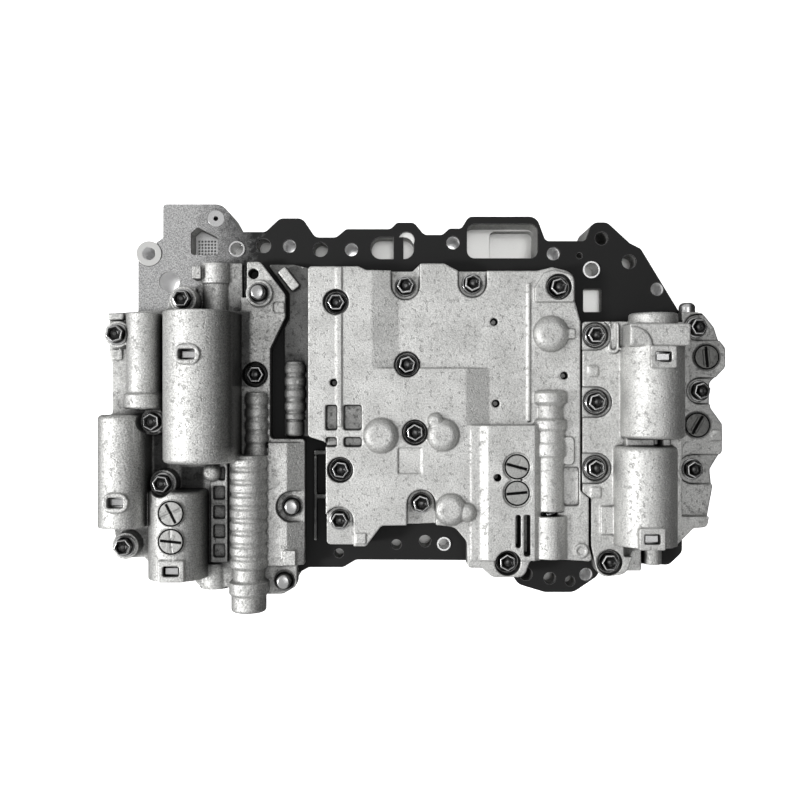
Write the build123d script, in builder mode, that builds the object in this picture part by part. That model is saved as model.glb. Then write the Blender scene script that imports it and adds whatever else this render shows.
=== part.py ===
from build123d import *
import os
from math import cos, radians, sin, tan

os.makedirs("parts", exist_ok=True)

# Hydraulic valve body of an automatic transmission, lying on its machined case face.
# X runs along the length, Y across, Z up from the case face, all in millimetres.

# Stack of castings and plate, from the case face up
lower_height = 34.0
plate_thickness = 1.6
flange_thickness = 10.4
plate_top = lower_height + plate_thickness
flange_top = plate_top + flange_thickness
centre_deck_height = 16.4
centre_deck_top = plate_top + centre_deck_height
centre_low_deck_drop = 3.0
right_deck_height = 14.4
right_deck_top = plate_top + right_deck_height

# Flange bolts, M6 with a washer face under an 8 mm hexagon
bolt_shank_radius = 3.0
bolt_hole_clearance = 0.3
bolt_thread_clearance = 0.05
bolt_flange_radius = 5.8
bolt_flange_thickness = 1.4
bolt_flange_slope = 1.0
bolt_hexagon_width = 8.0
bolt_head_height = 6.4
bolt_indent_depth = 1.4
bolt_indent_radius = 3.0
bolt_tip_height = 16.0
bolt_tip_chamfer = 0.8
bolt_head_chamfer = 0.5
bolt_crown_rounding = 1.5
bolt_turn = 17.0
bolt_hole_run_out = 1.0
seat_clearance = 1.1
left_seat_height = 19.4
recessed_seat_drop = 6.5
open_pit_radius = 7.7
boss_wall = 0.2

# Fits of what slides and what is held
running_clearance = 0.05
plug_clearance = 0.03
spring_side_clearance = 0.5
end_clearance = 0.2
plug_inset = 1.0
key_thickness = 3.2
key_side_clearance = 0.15
key_wall = 3.0
plug_tail = 6.0

left_seat_top = plate_top + left_seat_height
recessed_seat_top = centre_deck_top - recessed_seat_drop
bolt_hole_radius = bolt_shank_radius + bolt_hole_clearance
bolt_thread_radius = bolt_shank_radius + bolt_thread_clearance
seat_cut_radius = bolt_flange_radius + seat_clearance


def rounded_outline(corners):
    """Closes (x, y, corner radius) points into one outline with rounded corners."""
    points = [(x, y) for x, y, _ in corners]
    FilletPolyline(*points, radius=[r for _, _, r in corners], close=True)


def slab(corners, base, height):
    """A flat cast or cut shape with the given outline."""
    with BuildPart() as flat:
        with BuildSketch(Plane.XY.offset(base)):
            with BuildLine():
                rounded_outline(corners)
            make_face()
        extrude(amount=height)
    return flat.part


def pad(x, y, width, depth, base, top, corner=0.6):
    """A small raised rectangle, or the cutter of one."""
    with BuildPart() as raised:
        with BuildSketch(Plane.XY.offset(base)):
            with Locations((x, y)):
                RectangleRounded(width, depth, corner)
        extrude(amount=top - base)
    return raised.part


def post(x, y, radius, base, top):
    """An upright round boss, or the cutter of a round hole."""
    with BuildPart() as upright:
        with BuildSketch(Plane.XY.offset(base)):
            with Locations((x, y)):
                Circle(radius)
        extrude(amount=top - base)
    return upright.part


def posts(places, radius, base, top):
    """Several upright round bosses of one size, or the cutter of their holes."""
    with BuildPart() as uprights:
        with BuildSketch(Plane.XY.offset(base)):
            with Locations(*places):
                Circle(radius)
        extrude(amount=top - base)
    return uprights.part


def dome(x, y, radius, base, height):
    """A round cast hill, a short post with its top edge rounded well over."""
    with BuildPart() as hill:
        with BuildSketch(Plane.XY.offset(base)):
            with Locations((x, y)):
                Circle(radius)
        extrude(amount=height)
        fillet(hill.edges().group_by(Axis.Z)[-1], min(0.75 * height, 0.7 * radius))
    return hill.part


def u_recess(x, y, radius, reach, turn, base, top):
    """A bolt pit with a round end that runs out to one side of the casting."""
    with BuildPart() as pit:
        with BuildSketch(Plane.XY.offset(base)):
            with Locations(Location((x, y), turn)):
                Circle(radius)
                with Locations((reach / 2, 0)):
                    Rectangle(reach, 2 * radius)
        extrude(amount=top - base)
    return pit.part


def barrel(axis_x, axis_z, radius, closed_y, open_y, foot_z, rounding, draft=2.0):
    """A cast barrel along Y on drafted walls, rounded off at its closed end."""
    slope = radians(draft)
    shoulder_x = radius * cos(slope)
    shoulder_z = radius * sin(slope)
    foot_x = shoulder_x + (shoulder_z + axis_z - foot_z) * tan(slope)
    high_y = max(closed_y, open_y)
    with BuildPart() as cast:
        with BuildSketch(Plane.XZ.offset(-high_y)):
            with Locations((axis_x, axis_z)):
                Circle(radius)
            with BuildLine():
                Polyline(
                    (axis_x - shoulder_x, axis_z + shoulder_z),
                    (axis_x + shoulder_x, axis_z + shoulder_z),
                    (axis_x + foot_x, foot_z),
                    (axis_x - foot_x, foot_z),
                    close=True,
                )
            make_face()
            with Locations((axis_x, foot_z - radius)):
                Rectangle(4 * radius, 2 * radius, mode=Mode.SUBTRACT)
        extrude(amount=abs(closed_y - open_y))
        if rounding:
            end = -1 if closed_y > open_y else 0
            end_edges = cast.edges().group_by(Axis.Y)[end]
            fillet(end_edges.sort_by(Axis.Z)[1:], rounding)
    return cast.part


def turned(axis_x, axis_z, profile):
    """A round shape about an axis along Y, from (y, radius) points along its skin."""
    first_y = profile[0][0]
    last_y = profile[-1][0]
    skin = [(axis_x + radius, y) for y, radius in profile]
    with BuildPart() as round_part:
        with BuildSketch(Plane.XY.offset(axis_z)):
            with BuildLine():
                Polyline((axis_x, first_y), *skin, (axis_x, last_y), close=True)
            make_face()
        revolve(axis=Axis((axis_x, 0, axis_z), (0, 1, 0)))
    return round_part.part


def ribbed_profile(first_y, step, count, rib_radius, groove_radius, flank):
    """The (y, radius) skin of a column of even ribs with sloping flanks."""
    skin = []
    for rib in range(count):
        start = first_y + rib * step
        skin.append((start, groove_radius))
        skin.append((start + flank, rib_radius))
        skin.append((start + step - 2 * flank, rib_radius))
        skin.append((start + step - flank, groove_radius))
    skin.append((first_y + count * step, groove_radius))
    return skin


# Outlines, as (x, y, corner radius) round each casting
plate_outline = [
    (-138.5, 110.5, 2), (-105, 110.5, 8), (-96.5, 95.2, 4), (-82, 95.2, 4), (-74, 102.7, 5),
    (-61.5, 102.7, 5), (-54.5, 92.2, 4), (-43, 92.2, 4), (-37.5, 96.8, 3), (-13, 96.8, 4),
    (-9.5, 100.4, 3), (0, 100.4, 4), (5.5, 93.6, 4), (15.5, 93.6, 3), (19.5, 97.1, 2.5),
    (26, 97.1, 2.5), (30, 103.7, 4), (67.5, 103.7, 6), (72.5, 90.2, 3), (94.5, 90.2, 3),
    (98, 100.5, 5), (106.5, 100.5, 5), (119, 89, 4), (125, 86, 4), (145, 53, 4),
    (157.5, 33, 3), (157.5, -64, 4), (147.8, -71, 3), (147.8, -81.5, 5), (140.5, -88.5, 5),
    (102, -86.5, 2), (102, -94, 6), (88, -103.5, 8), (72, -103.5, 8), (57, -99, 7),
    (50, -86, 2), (-32, -85.5, 5), (-39, -89.7, 4), (-58, -89.7, 3), (-64, -93, 2),
    (-118, -93, 6), (-140, -86, 6), (-160, -79, 6), (-164, -64, 6), (-164, 33, 6),
    (-152.2, 50, 6), (-152.2, 82, 1), (-138.5, 92, 1),
]
left_outline = [
    (-165, 49.3, 2), (-134, 51.5, 2), (-132, 60, 5), (-123.5, 65, 5), (-117.2, 62, 2),
    (-117, 77, 1.5), (-94, 77.2, 0.5), (-93.6, 58, 0.5), (-90.8, 58, 0.5), (-90.5, 77.2, 0.5),
    (-83.5, 77.4, 3), (-69.8, 59.5, 4), (-69.8, 47.5, 3), (-78, 30.5, 3), (-78, -18.5, 2),
    (-59.3, -18.5, 2), (-59.3, -79.5, 3),
    (-63.5, -86, 2), (-63.5, -98, 4), (-71, -102.5, 5), (-98.5, -102.5, 3),
    (-100, -98.5, 2), (-117, -98.5, 5), (-120, -92, 1), (-138, -92, 3), (-146, -82.5, 2),
    (-160, -83, 6), (-162.5, -67, 2), (-163.5, -5, 2), (-163.5, 22.5, 1), (-165, 25, 1),
]
centre_outline = [
    (-57, 74, 2), (-30, 74, 2), (-26, 72, 2), (-1, 72, 2), (3, 76, 3),
    (16, 76, 3), (23.5, 72, 2), (66, 72, 2), (74, 74, 3), (86.3, 71, 7),
    (86.3, 55.5, 2), (89.3, 44.7, 2), (89.3, -46.2, 1), (93.9, -50, 1), (93.9, -76, 2),
    (96, -84.5, 2), (81.5, -83.5, 3), (62, -83, 3), (58.5, -92.3, 5), (41.5, -92.3, 5),
    (36, -87.3, 1), (28.2, -87.3, 2), (28.2, -73.5, 6), (21.5, -65.5, 6), (10.5, -64.2, 3),
    (-17.7, -64.8, 2), (-26, -75.8, 2), (-47.5, -75.6, 2), (-47.5, -20, 2), (-57, -17, 2),
]
right_outline = [
    (90.1, 44.7, 2), (145.8, 44.4, 1), (149, 50, 3), (156.5, 49.5, 5), (162.5, 42, 3),
    (165, 34.5, 2), (168.1, 30.5, 2), (168.1, 20.2, 4), (160.2, 12, 2), (159.8, -1.5, 2),
    (166.3, -10.5, 2), (166.3, -25, 2), (160.2, -35, 2), (161.1, -44.2, 1), (157.1, -65.8, 3),
    (149.6, -66.4, 2), (139.3, -77, 3), (118, -79, 2), (113.5, -91, 6), (98.7, -93, 6),
    (94.9, -76, 2), (94.9, -50.5, 1), (90.1, -46.7, 1),
]

# Holes through plate and lower casting for the case bolts, as (x, y)
case_bolt_radius = 3.6
case_boss_radius = 6.9
case_boss_rise = 0.5
case_boss_place = (-146.2, 83.2)
case_bolt_places = [
    (-68.8, 87.4), (-34.6, 85.5), (21.4, 89.3), (76.8, 83.2), (103.3, 91.6),
    (134.1, 63.7), (61.6, -93.5), (94.8, -93.8),
]
drain_hole_radius = 5.7
drain_hole_place = (-135.0, 67.7)

# Blind ports, as (x, y, radius), with the plate open over them
port_depth = 12.0
port_places = [
    (-83.0, 87.6, 4.0), (-51.7, 85.5, 4.0), (91.1, 82.1, 1.7), (118.5, 78.8, 3.9),
    (-41.5, -82.0, 2.6), (-9.8, -77.1, 2.8), (6.0, -75.3, 3.3), (74.8, -95.8, 3.3),
    (86.0, -97.4, 2.8),
]

# Windows of the plate over deep pockets
inlet_centre = (48.65, 90.15)
inlet_length = 38.9
inlet_width = 18.9
inlet_corner = 4.2
inlet_floor = 10.0
inlet_step_floor = 18.0
inlet_step_length = 14.0
strainer_pocket_floor = 20.0
strainer_height = 4.0
strainer_wall = 0.8
strainer_play = 0.2
strainer_mesh_middle = (-115.6, 88.2)
strainer_pitch = 1.8
strainer_columns = 7
strainer_rows = 5
strainer_hole_radius = 0.55
strainer_window = [
    (-123.2, 94.5, 1), (-119.5, 98, 1.5), (-114.5, 95.5, 1), (-108.3, 92.5, 2), (-108.3, 82.6, 1.5),
    (-123.2, 82.6, 1.5),
]
oval_centre = (-12.0, 86.3)
oval_length = 23.7
oval_width = 12.1
oval_bulge = (-4.2, 90.9)
oval_bulge_radius = 4.4
oval_rib_x = -8.6
oval_rib_width = 5.5
oval_floor = 22.0
feed_centre = (98.2, 57.4)
feed_length = 9.9
feed_width = 12.7
feed_floor = 30.5

# Locating dowels and the orifice plug
dowels = [(-97.7, 85.7, 4.4, 3.5), (97.7, 74.3, 4.7, 3.8), (16.4, -76.8, 3.8, 2.9)]
dowel_foot = 20.0
dowel_rise = 0.8
dowel_clearance = 0.02
orifice_place = (-109.4, 102.6)
orifice_plug_radius = 4.5
orifice_radius = 1.3
orifice_plug_foot = 24.0

# Check balls in pockets of the lower casting
ball_radius = 2.75
ball_play = 0.8
ball_pocket_depth = 8.0
ball_places = [(-22, 40), (18, 34), (52, 22), (-22, -40), (62, -35)]

# Bolts, as (x, y) of each head
left_bolt_places = [(-123.1, 55.9), (-158.0, 37.4), (-138.9, -9.0), (-133.6, -41.7), (-153.8, -75.0)]
left_deep_bolt = (-86.3, 16.3)
left_deep_seat = 40.0
round_bolts = [(-83.5, 59.8, 50.0), (-65.9, -54.8, 46.0), (-70.2, -94.9, 46.0)]
centre_pit_places = [(-42.1, 54.9), (-4.0, 21.5), (0.2, -14.9), (-39.8, -34.9)]
centre_open_pits = [(-4.9, 64.0, 90), (31.2, 65.3, 90), (3.6, -53.1, -90), (-40.4, -62.2, -90)]
centre_edge_bolts = [(77.4, 63.3), (49.8, -84.6)]
right_pit_places = [(97.4, 37.5), (97.7, 1.4), (97.4, -34.2)]
right_pit_radius = 8.3
right_pit_step = 2.5
right_front_bolt = (104.6, -84.6)
right_front_seat = 46.0
right_edge_bolts = [(152.8, 41.8), (154.3, 7.4), (150.4, -34.9)]
right_edge_seat = 44.5
right_edge_recesses = [(152.8, 41.8, 7.2), (154.3, 7.4, 7.2), (150.4, -34.9, 8.0)]
edge_bosses = [(-158.0, 37.4), (-70.2, -94.9), (49.8, -84.6), (104.6, -84.6), (152.8, 41.8), (154.3, 7.4)]
edge_boss_radius = 5.6

# Accumulator trains: axis, barrel and bore radius, ends along Y, key place and coil
accumulators = {
    "long": dict(x=-113.3, z=58.5, radius=19.2, bore=12.5, closed=-30.5, open=48.9, wall=6.5,
                 key=25.8, piston=18.0, stroke=20.0, coil=8.4, wire=1.3, turns=7,
                 from_top=True, window_shift=-2.8, key_sink=5.0),
    "slim": dict(x=-143.8, z=54.0, radius=9.3, bore=5.5, closed=-1.9, open=48.5, wall=5.0,
                 key=39.0, piston=9.0, stroke=12.0, coil=3.2, wire=0.7, turns=7,
                 from_top=False, window_shift=0.0, key_sink=0.0),
    "corner": dict(x=-155.0, z=56.0, radius=12.6, bore=9.0, closed=-5.3, open=-64.6, wall=12.7,
                   key=-50.8, piston=12.0, stroke=11.0, coil=5.8, wire=1.0, turns=5,
                   from_top=True, window_shift=0.0, key_sink=4.0),
    "dial": dict(x=-126.9, z=50.0, radius=15.5, bore=10.0, closed=-45.4, open=-92.6, wall=8.0,
                 key=-86.8, piston=11.0, stroke=12.0, coil=6.6, wire=1.1, turns=5,
                 from_top=True, window_shift=0.0, key_sink=1.5),
    "front": dict(x=126.9, z=54.0, radius=16.4, bore=11.5, closed=-18.0, open=48.5, wall=6.0,
                  key=24.8, piston=14.0, stroke=13.0, coil=7.6, wire=1.2, turns=6,
                  from_top=True, window_shift=1.1, key_sink=1.5),
    "rear": dict(x=123.1, z=54.0, radius=16.3, bore=11.5, closed=-22.0, open=-74.5, wall=6.0,
                 key=-69.3, piston=13.0, stroke=16.0, coil=7.6, wire=1.2, turns=6,
                 from_top=True, window_shift=-0.9, key_sink=1.5),
}
left_barrels = ["long", "slim", "corner", "dial"]
right_barrels = ["front", "rear"]
front_collar_length = 6.3
front_collar_radius = 12.9
front_collar_chamfer = 1.0
front_block_length = 11.6
front_block_width = 31.6
front_block_top = 68.3
front_arch_place = (112.9, 30.6)
front_arch_radius = 9.7
front_arch_rise = 0.8
right_mouth_run_out = 6.0
barrel_rounding = 2.4
crown_thickness = 7.0
ring_groove_depth = 1.2
ring_groove_width = 1.8
ring_side_clearance = 0.1
ring_bore_clearance = 0.02
ring_edge = 1.2
ring_count = 2

# Retaining keys and the windows that show them
window_key_width = 6.4
window_length = 8.4
window_width = 5.4
window_corner = 1.0
window_pad_length = 13.6
window_pad_width = 10.0
square_pad_width = 11.4
window_pad_rise = 0.9
captured_key_width = 6.0
key_slot_depth = 2.5

# Spool trains: bore floor, way to the mouth, bore length and radius, key place, spool and coil
spool_trains = {
    "regulator_valve": dict(floor=(-88.8, -33.0, 50.0), way=(0, -1, 0), length=77.6, bore=6.0, key=56.0,
                            spool=32.0, stroke=6.0, coil=3.8, wire=0.8, turns=6, up=False),
    "relay_valve": dict(floor=(73.0, 0.0, 46.2), way=(0, -1, 0), length=82.6, bore=4.5, key=73.0,
                        spool=42.0, stroke=8.0, coil=2.8, wire=0.6, turns=7, up=False),
    "first_shift_valve": dict(floor=(-98.0, 5.0, 17.0), way=(-1, 0, 0), length=66.0, bore=5.5, key=60.0,
                              spool=32.0, stroke=8.0, coil=3.4, wire=0.7, turns=6, up=True),
    "second_shift_valve": dict(floor=(-84.0, -25.0, 17.0), way=(-1, 0, 0), length=80.0, bore=5.5, key=74.0,
                               spool=40.0, stroke=10.0, coil=3.4, wire=0.7, turns=8, up=True),
    "third_shift_valve": dict(floor=(88.0, -18.0, 17.0), way=(1, 0, 0), length=69.5, bore=5.5, key=63.0,
                              spool=34.0, stroke=8.0, coil=3.4, wire=0.7, turns=6, up=True),
}
spool_neck_share = 0.55
spool_land_count = 3
spool_land_length = 7.0
manual_valve_floor = (62.0, 25.0, 17.0)
manual_bore_length = 95.5
manual_bore_radius = 7.0
manual_valve_reach = 8.0
manual_valve_travel = 26.0
manual_land_count = 5
manual_tail = 18.0
manual_tail_groove = 6.5
manual_groove_width = 3.0
manual_groove_depth = 2.2

# Ribbed column over the regulator valve, from the free end inwards
column_rib_count = 9
column_rib_step = 6.7
column_rib_radius = 10.2
column_groove_radius = 9.3
column_rib_flank = 1.2
column_end_radius = 9.4
column_end_length = 8.7
column_collar_radius = 10.6
column_collar_length = 8.0
column_neck_radius = 8.4
column_neck_length = 6.5
column_chamfer = 1.0

# Small ribbed columns beside it, as (x, z, first y, count, step, rib radius)
left_small_column = (-85.1, 46.0, -28.0, 5, 6.9, 6.1)
centre_small_column = (-64.9, 44.0, -3.6, 4, 6.7, 5.6)
small_groove_depth = 0.8
centre_column_nubs = [
    (-17.0, 3.6), (-16.0, 4.6), (-9.4, 4.6), (-8.6, 3.4), (-7.8, 5.2), (-5.4, 5.2), (-4.4, 4.4),
]

# Turned-looking column over the relay valve, as (y, radius) from the inner end
relay_column = [
    (7.6, 7.4), (6.2, 9.4), (1.4, 9.4), (-0.6, 7.3), (-7.4, 7.3), (-8.6, 9.2), (-13.0, 9.2),
    (-14.2, 8.2), (-20.2, 8.2), (-21.4, 8.8), (-27.4, 8.8), (-28.4, 7.8), (-57.5, 7.8),
]
relay_mouth_radius = 9.2
relay_mouth_length = 22.8


def pushed_along(plane, radius, start, length):
    """A round bar along a plane's normal."""
    with BuildPart() as bar:
        with BuildSketch(plane.offset(start)):
            Circle(radius)
        extrude(amount=length)
    return bar.part


def collar_along(plane, outer, inner, start, length):
    """A ring along a plane's normal."""
    with BuildPart() as collar:
        with BuildSketch(plane.offset(start)):
            Circle(outer)
            Circle(inner, mode=Mode.SUBTRACT)
        extrude(amount=length)
    return collar.part


def blade_across(plane, middle, thickness, width, low, high, shift=0.0):
    """A flat blade across a bore, from low to high on the side of the key slot."""
    with BuildPart() as blade:
        with BuildSketch(plane.offset(middle - thickness / 2)):
            with Locations(((low + high) / 2, shift)):
                Rectangle(high - low, width)
        extrude(amount=thickness)
    return blade.part


def coil_spring(plane, radius, wire, turns, start, length):
    """A compression coil between two ends along a plane's normal."""
    free = length - 2 * wire - 2 * end_clearance
    foot = plane.offset(start + wire + end_clearance)
    with BuildPart() as coil:
        with BuildLine() as path:
            Helix(pitch=free / turns, height=free, radius=radius, center=foot.origin, direction=foot.z_dir)
        with BuildSketch(Plane(origin=path.line @ 0, z_dir=path.line % 0)):
            RegularPolygon(wire, 6)
        sweep(is_frenet=True)
    return coil.part


def accumulator_plane(train):
    """The floor of an accumulator bore, facing its mouth, with X towards the key."""
    toward = 1 if train["open"] > train["closed"] else -1
    side = 1 if train["from_top"] else -1
    floor_y = train["closed"] + toward * train["wall"]
    return Plane(origin=(train["x"], floor_y, train["z"]), x_dir=(0, 0, side), z_dir=(0, toward, 0))


def accumulator_length(train):
    return abs(train["open"] - train["closed"]) - train["wall"]


def accumulator_key(train):
    """The distance of the retaining key from the bore's floor."""
    toward = 1 if train["open"] > train["closed"] else -1
    return toward * (train["key"] - train["closed"]) - train["wall"]


def spool_plane(train):
    """The floor of a spool bore, facing its mouth, with X towards the key."""
    side = 1 if train["up"] else -1
    return Plane(origin=train["floor"], x_dir=(0, 0, side), z_dir=train["way"])


def plug_start(key):
    return key - key_thickness / 2 - key_wall


def end_plug(plane, bore, key, length):
    """A turned plug in a bore's mouth, slotted for its key and dimpled outside."""
    radius = bore - plug_clearance
    start = plug_start(key)
    end = min(length - plug_inset, key + plug_tail)
    slot = key_thickness + 2 * key_side_clearance
    with BuildPart() as plug:
        add(pushed_along(plane, radius, start, end - start))
        plug_mouth = plug.edges().sort_by(Axis(plane.origin, plane.z_dir))[-1]
        chamfer(plug_mouth, plug_inset / 2)
        add(blade_across(plane, key, slot, 2 * bore, bore - key_slot_depth - end_clearance, 2 * bore),
            mode=Mode.SUBTRACT)
        add(pushed_along(plane, bore / 3, end - plug_inset, 2 * plug_inset), mode=Mode.SUBTRACT)
    return plug.part


def captured_slot(plane, bore, key, reach):
    """The slot in a casting's joint face that a captured key drops into."""
    thickness = key_thickness + 2 * key_side_clearance
    width = captured_key_width + 2 * key_side_clearance
    return blade_across(plane, key, thickness, width, 0, reach)


def mouth_bore(plane, bore, length):
    """A bore with a lead-in chamfer's worth of run-out past its mouth."""
    return pushed_along(plane, bore, 0, length + plug_inset)


def window(train, top):
    """The window over a retaining key, cut down into the bore."""
    with BuildPart() as opening:
        with BuildSketch(Plane.XY.offset(train["z"])):
            with Locations((train["x"] + train["window_shift"], train["key"])):
                RectangleRounded(window_length, window_width, window_corner)
        extrude(amount=top - train["z"])
    return opening.part


def window_pad(train, square):
    """The raised pad round a key window."""
    top = train["z"] + train["radius"] + window_pad_rise
    with BuildPart() as raised:
        with BuildSketch(Plane.XY.offset(train["z"] + train["radius"] / 2)):
            with Locations((train["x"] + train["window_shift"], train["key"])):
                if square:
                    RectangleRounded(window_pad_length, square_pad_width, window_corner)
                else:
                    SlotOverall(window_pad_length, window_pad_width)
        extrude(amount=top - train["z"] - train["radius"] / 2)
    return raised.part


# Worm tracks on the case face, each a run of (x, y) corners
track_width = 7.0
track_depth = 7.0
track_runs = [
    [(-150, 30), (-150, -38), (-122, -38), (-122, 22), (-100, 22)],
    [(-104, 58), (-58, 58), (-58, 22), (-28, 22)],
    [(-108, -72), (-60, -72), (-60, -14), (-96, -14)],
    [(-38, -62), (-38, -14), (-4, -14), (-4, -42)],
    [(8, 66), (8, 34), (62, 34), (62, 66)],
    [(22, -60), (22, 0), (68, 0), (68, -62)],
    [(92, 40), (138, 40), (138, 4), (104, 4)],
    [(94, -32), (140, -32), (140, -60), (104, -60)],
    [(-146, -56), (-122, -56), (-122, -78)],
    [(-90, 4), (-44, 4)],
    [(-46, 72), (-14, 72), (-14, 48)],
    [(82, 62), (118, 62)],
    [(38, -20), (52, -20), (52, -46), (38, -46)],
    [(80, 14), (80, -50)],
]

# Left casting details
neck_x = -108.4
neck_front_radius = 8.7
neck_rear_radius = 7.9
neck_top = 46.0
neck_step_y = 66.0
neck_end_y = 77.0
neck_pit = (-106.0, 64.7, 24.6, 28.6)
neck_floor = 41.0
slim_collar = [(-0.5, 0.4), (0.6, 1.5), (7.2, 1.5), (8.4, 0.0)]
left_flat_hole = (-87.0, 70.7, 2.8)
blind_hole_depth = 8.0
left_strip_top = 50.5
left_strip_edge = (-78.5, -68.5, -59.5)
left_strip_ends = (-86.5, -20.5)
strip_recess_radius = 8.5
strip_lug = (-67.0, -82.2, 6.6, 8.0)
strip_lug_rise = 1.0
ladder_centre_x = -105.2
ladder_width = 9.4
ladder_top = 48.5
ladder_first_y = -37.0
ladder_step = 10.4
ladder_count = 5
ladder_pocket = (6.2, 7.2)
ladder_pocket_depth = 3.0
ladder_lump = (-108.9, -36.4, 5.0)
ladder_lump_height = 4.0
front_stub = (-108.8, 40.0, 8.2, -99.8, -86.0)
rear_edge_pad = (-160.8, 47.4, 8.4, 3.8)
rear_edge_pad_rise = 2.5
neck_block = (-118.0, 71.5, 4.9, 7.0)
long_fin = (-95.8, 26.0, 1.0, 38.0)
long_fin_rise = 5.0
thin_corner = 0.3
square_mark = 5.4
mark_rise = 0.8
date_dial_radius = 6.3
date_dial_groove = 0.7
date_slot_width = 1.1
date_slot_depth = 0.8
date_dial_rise = 0.5
wide_slot_width = 3.6
wide_slot_ridge = 1.2
left_dials = [(-127.0, -56.6, 25), (-127.0, -71.2, 95)]
left_marks = [(-160.6, 27.0), (-73.0, 52.4)]

# Centre casting details
low_deck_top = centre_deck_top - centre_low_deck_drop
ramps = [(-22.8, -8.3, 19.5, 90.0), (27.5, 40.3, -11.0, 19.5)]
block_right = 64.0
block_rise = 2.5
block_skin = [(30.2, 0.4), (34.9, 0.4), (39.2, block_rise), (block_right, block_rise)]
block_fill_x = 67.6
block_fill_rise = 2.6
block_ends = (-83.2, -11.0)
block_side = (89.0, -52.1, 50.0, 82.2)
centre_domes = [
    (-18.2, -16.5, 9.2, 5.0), (15.1, -16.2, 8.5, 5.0), (11.0, -8.6, 4.0, 4.6),
    (19.1, -56.0, 8.4, 4.6), (28.0, -57.5, 4.8, 4.2),
]
corner_dome = (73.2, 38.0, 9.5, 5.5)
dome_stub = (80.5, 38.0, 11.0, 5.0)
dome_stub_rise = 3.0
corner_pad = [
    (64.5, 55.2, 1), (85.5, 55.2, 1), (85.5, 69.5, 4), (75, 72.3, 2), (69.5, 70.5, 2), (64.5, 62.5, 2),
]
corner_pad_rise = 1.5
centre_pockets = [
    (-44.5, -6.9, 6.4, 13.6), (-33.2, -6.9, 9.8, 13.6), (-44.6, -20.0, 6.0, 5.2), (-33.1, -20.0, 9.6, 5.2),
]
centre_pocket_corner = 1.2
centre_pocket_depth = 7.0
centre_blind_holes = [(-43.3, 11.8), (42.8, 44.5), (43.8, 0.6), (44.2, -38.9), (80.5, 15.6)]
centre_blind_radius = 2.0
deck_rib = (-40.4, 31.0, 2.8, 85.0)
second_rib = (61.4, 28.0, 1.6, 74.0)
rib_rise = 0.8
sunk_panel = (-2.5, -30.0, 12.8, 14.0)
sunk_depth = 0.8
centre_mark = (-28.8, -71.5)
centre_dials = [(54.6, -33.1, -15), (54.6, -47.2, 5)]
centre_dial_drop = 1.0
lightening_slots = [(55.2, -67.5, 2.6, 17.5), (59.9, -69.7, 3.5, 22.0)]
lightening_depth = 8.0
side_recess = (84.3, -44.0, 8.5, 21.0)
side_recess_depth = 3.0
side_recess_corner = 1.5
blank_tag = (82.6, -24.8, 6.0, 15.0)
blank_tag_rise = 1.4
blank_tag_corner = 2.5
corner_disc = (89.6, -78.5, 3.8)
corner_disc_rise = 1.0
corner_dimple_radius = 2.4
corner_dimple_depth = 0.6
relay_foot = (73.0, -24.0, 15.0, 64.0)
relay_mouth_rounding = 0.5
edge_bolt_wall = 1.0
centre_skirt = [
    (-56, 74, 0.5), (-56, -17.5, 0.5), (-70.8, -17.5, 1), (-70.8, 42, 2), (-68.3, 46.5, 2),
    (-68.3, 60.5, 2), (-80, 76.4, 1), (-66, 76.4, 1),
]
centre_skirt_height = 6.0
skirt_tag = (-68.0, 68.0, 13.0, 5.0)
skirt_tag_turn = -52.0
skirt_tag_rise = 5.0
side_fins = [(-53.8, -51.0, 1.4, 46.0), (-50.6, -26.0, 7.8, 2.4), (-50.6, -50.0, 7.8, 2.4)]
side_fin_height = 6.4

# Right casting details
right_step_x = 143.6
right_step = (158.6, 0.0, 30.0, 120.0)
right_step_top = 46.5
right_dials = [(157.5, 25.7, 95), (152.6, -11.0, 60)]
right_dial_foot = 2.0
right_dial_rise = 1.2
right_deck_marks = [(95.8, 18.0), (97.3, -47.0)]
right_step_mark = (163.2, -16.5)
right_channel = (106.6, 36.0, 6.4, 17.0)
right_channel_corner = 3.0
right_channel_groove = (106.6, 38.0, 3.0, 17.0)
right_channel_rise = 1.2
right_channel_depth = 0.6
right_block = (103.6, -62.0, 8.0, 15.0)
bridge = (133.2, -20.0, 4.5, 6.0)
bridge_top = 58.0
barrel_web = (119.5, -20.0, 15.0, 6.0)
barrel_web_top = 57.0
rear_foot = (119.4, -83.5, 8.6, 14.0)
rear_foot_top = 42.3
rear_stub = (130.3, 39.5, 5.0, -87.2, -72.0)
pressure_plug_place = (148.9, 40.6)
pressure_plug_face = 50.0
pressure_plug_radius = 4.4
pressure_plug_length = 5.5
pressure_plug_shank = 2.6
pressure_plug_shank_length = 5.0
pressure_plug_rounding = 2.8
pressure_boss = (148.9, 47.6, 9.0, 4.8)


def bolt_cuts(places, seat):
    """The clearance holes of bolts and the room for their heads over one seat height."""
    with BuildPart() as cut:
        add(posts(places, bolt_hole_radius, plate_top - 1, seat + 1))
        add(posts(places, seat_cut_radius, seat, seat + 40))
    return cut.part


def date_dial(x, y, turn, base, top, slot=date_slot_width, ridge=0.0):
    """A round date mark cast in relief, with its ring groove and pointer slot."""
    with BuildPart() as dial:
        add(post(x, y, date_dial_radius + date_dial_groove, base, top))
        with BuildSketch(Plane.XY.offset(top - date_slot_depth)):
            with Locations(Location((x, y), turn)):
                Circle(date_dial_radius)
                Circle(date_dial_radius - date_dial_groove, mode=Mode.SUBTRACT)
                Rectangle(2 * date_dial_radius - slot, slot)
                if ridge:
                    Rectangle(2 * date_dial_radius - slot, ridge, mode=Mode.SUBTRACT)
        extrude(amount=2 * date_slot_depth, mode=Mode.SUBTRACT)
    return dial.part


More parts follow.
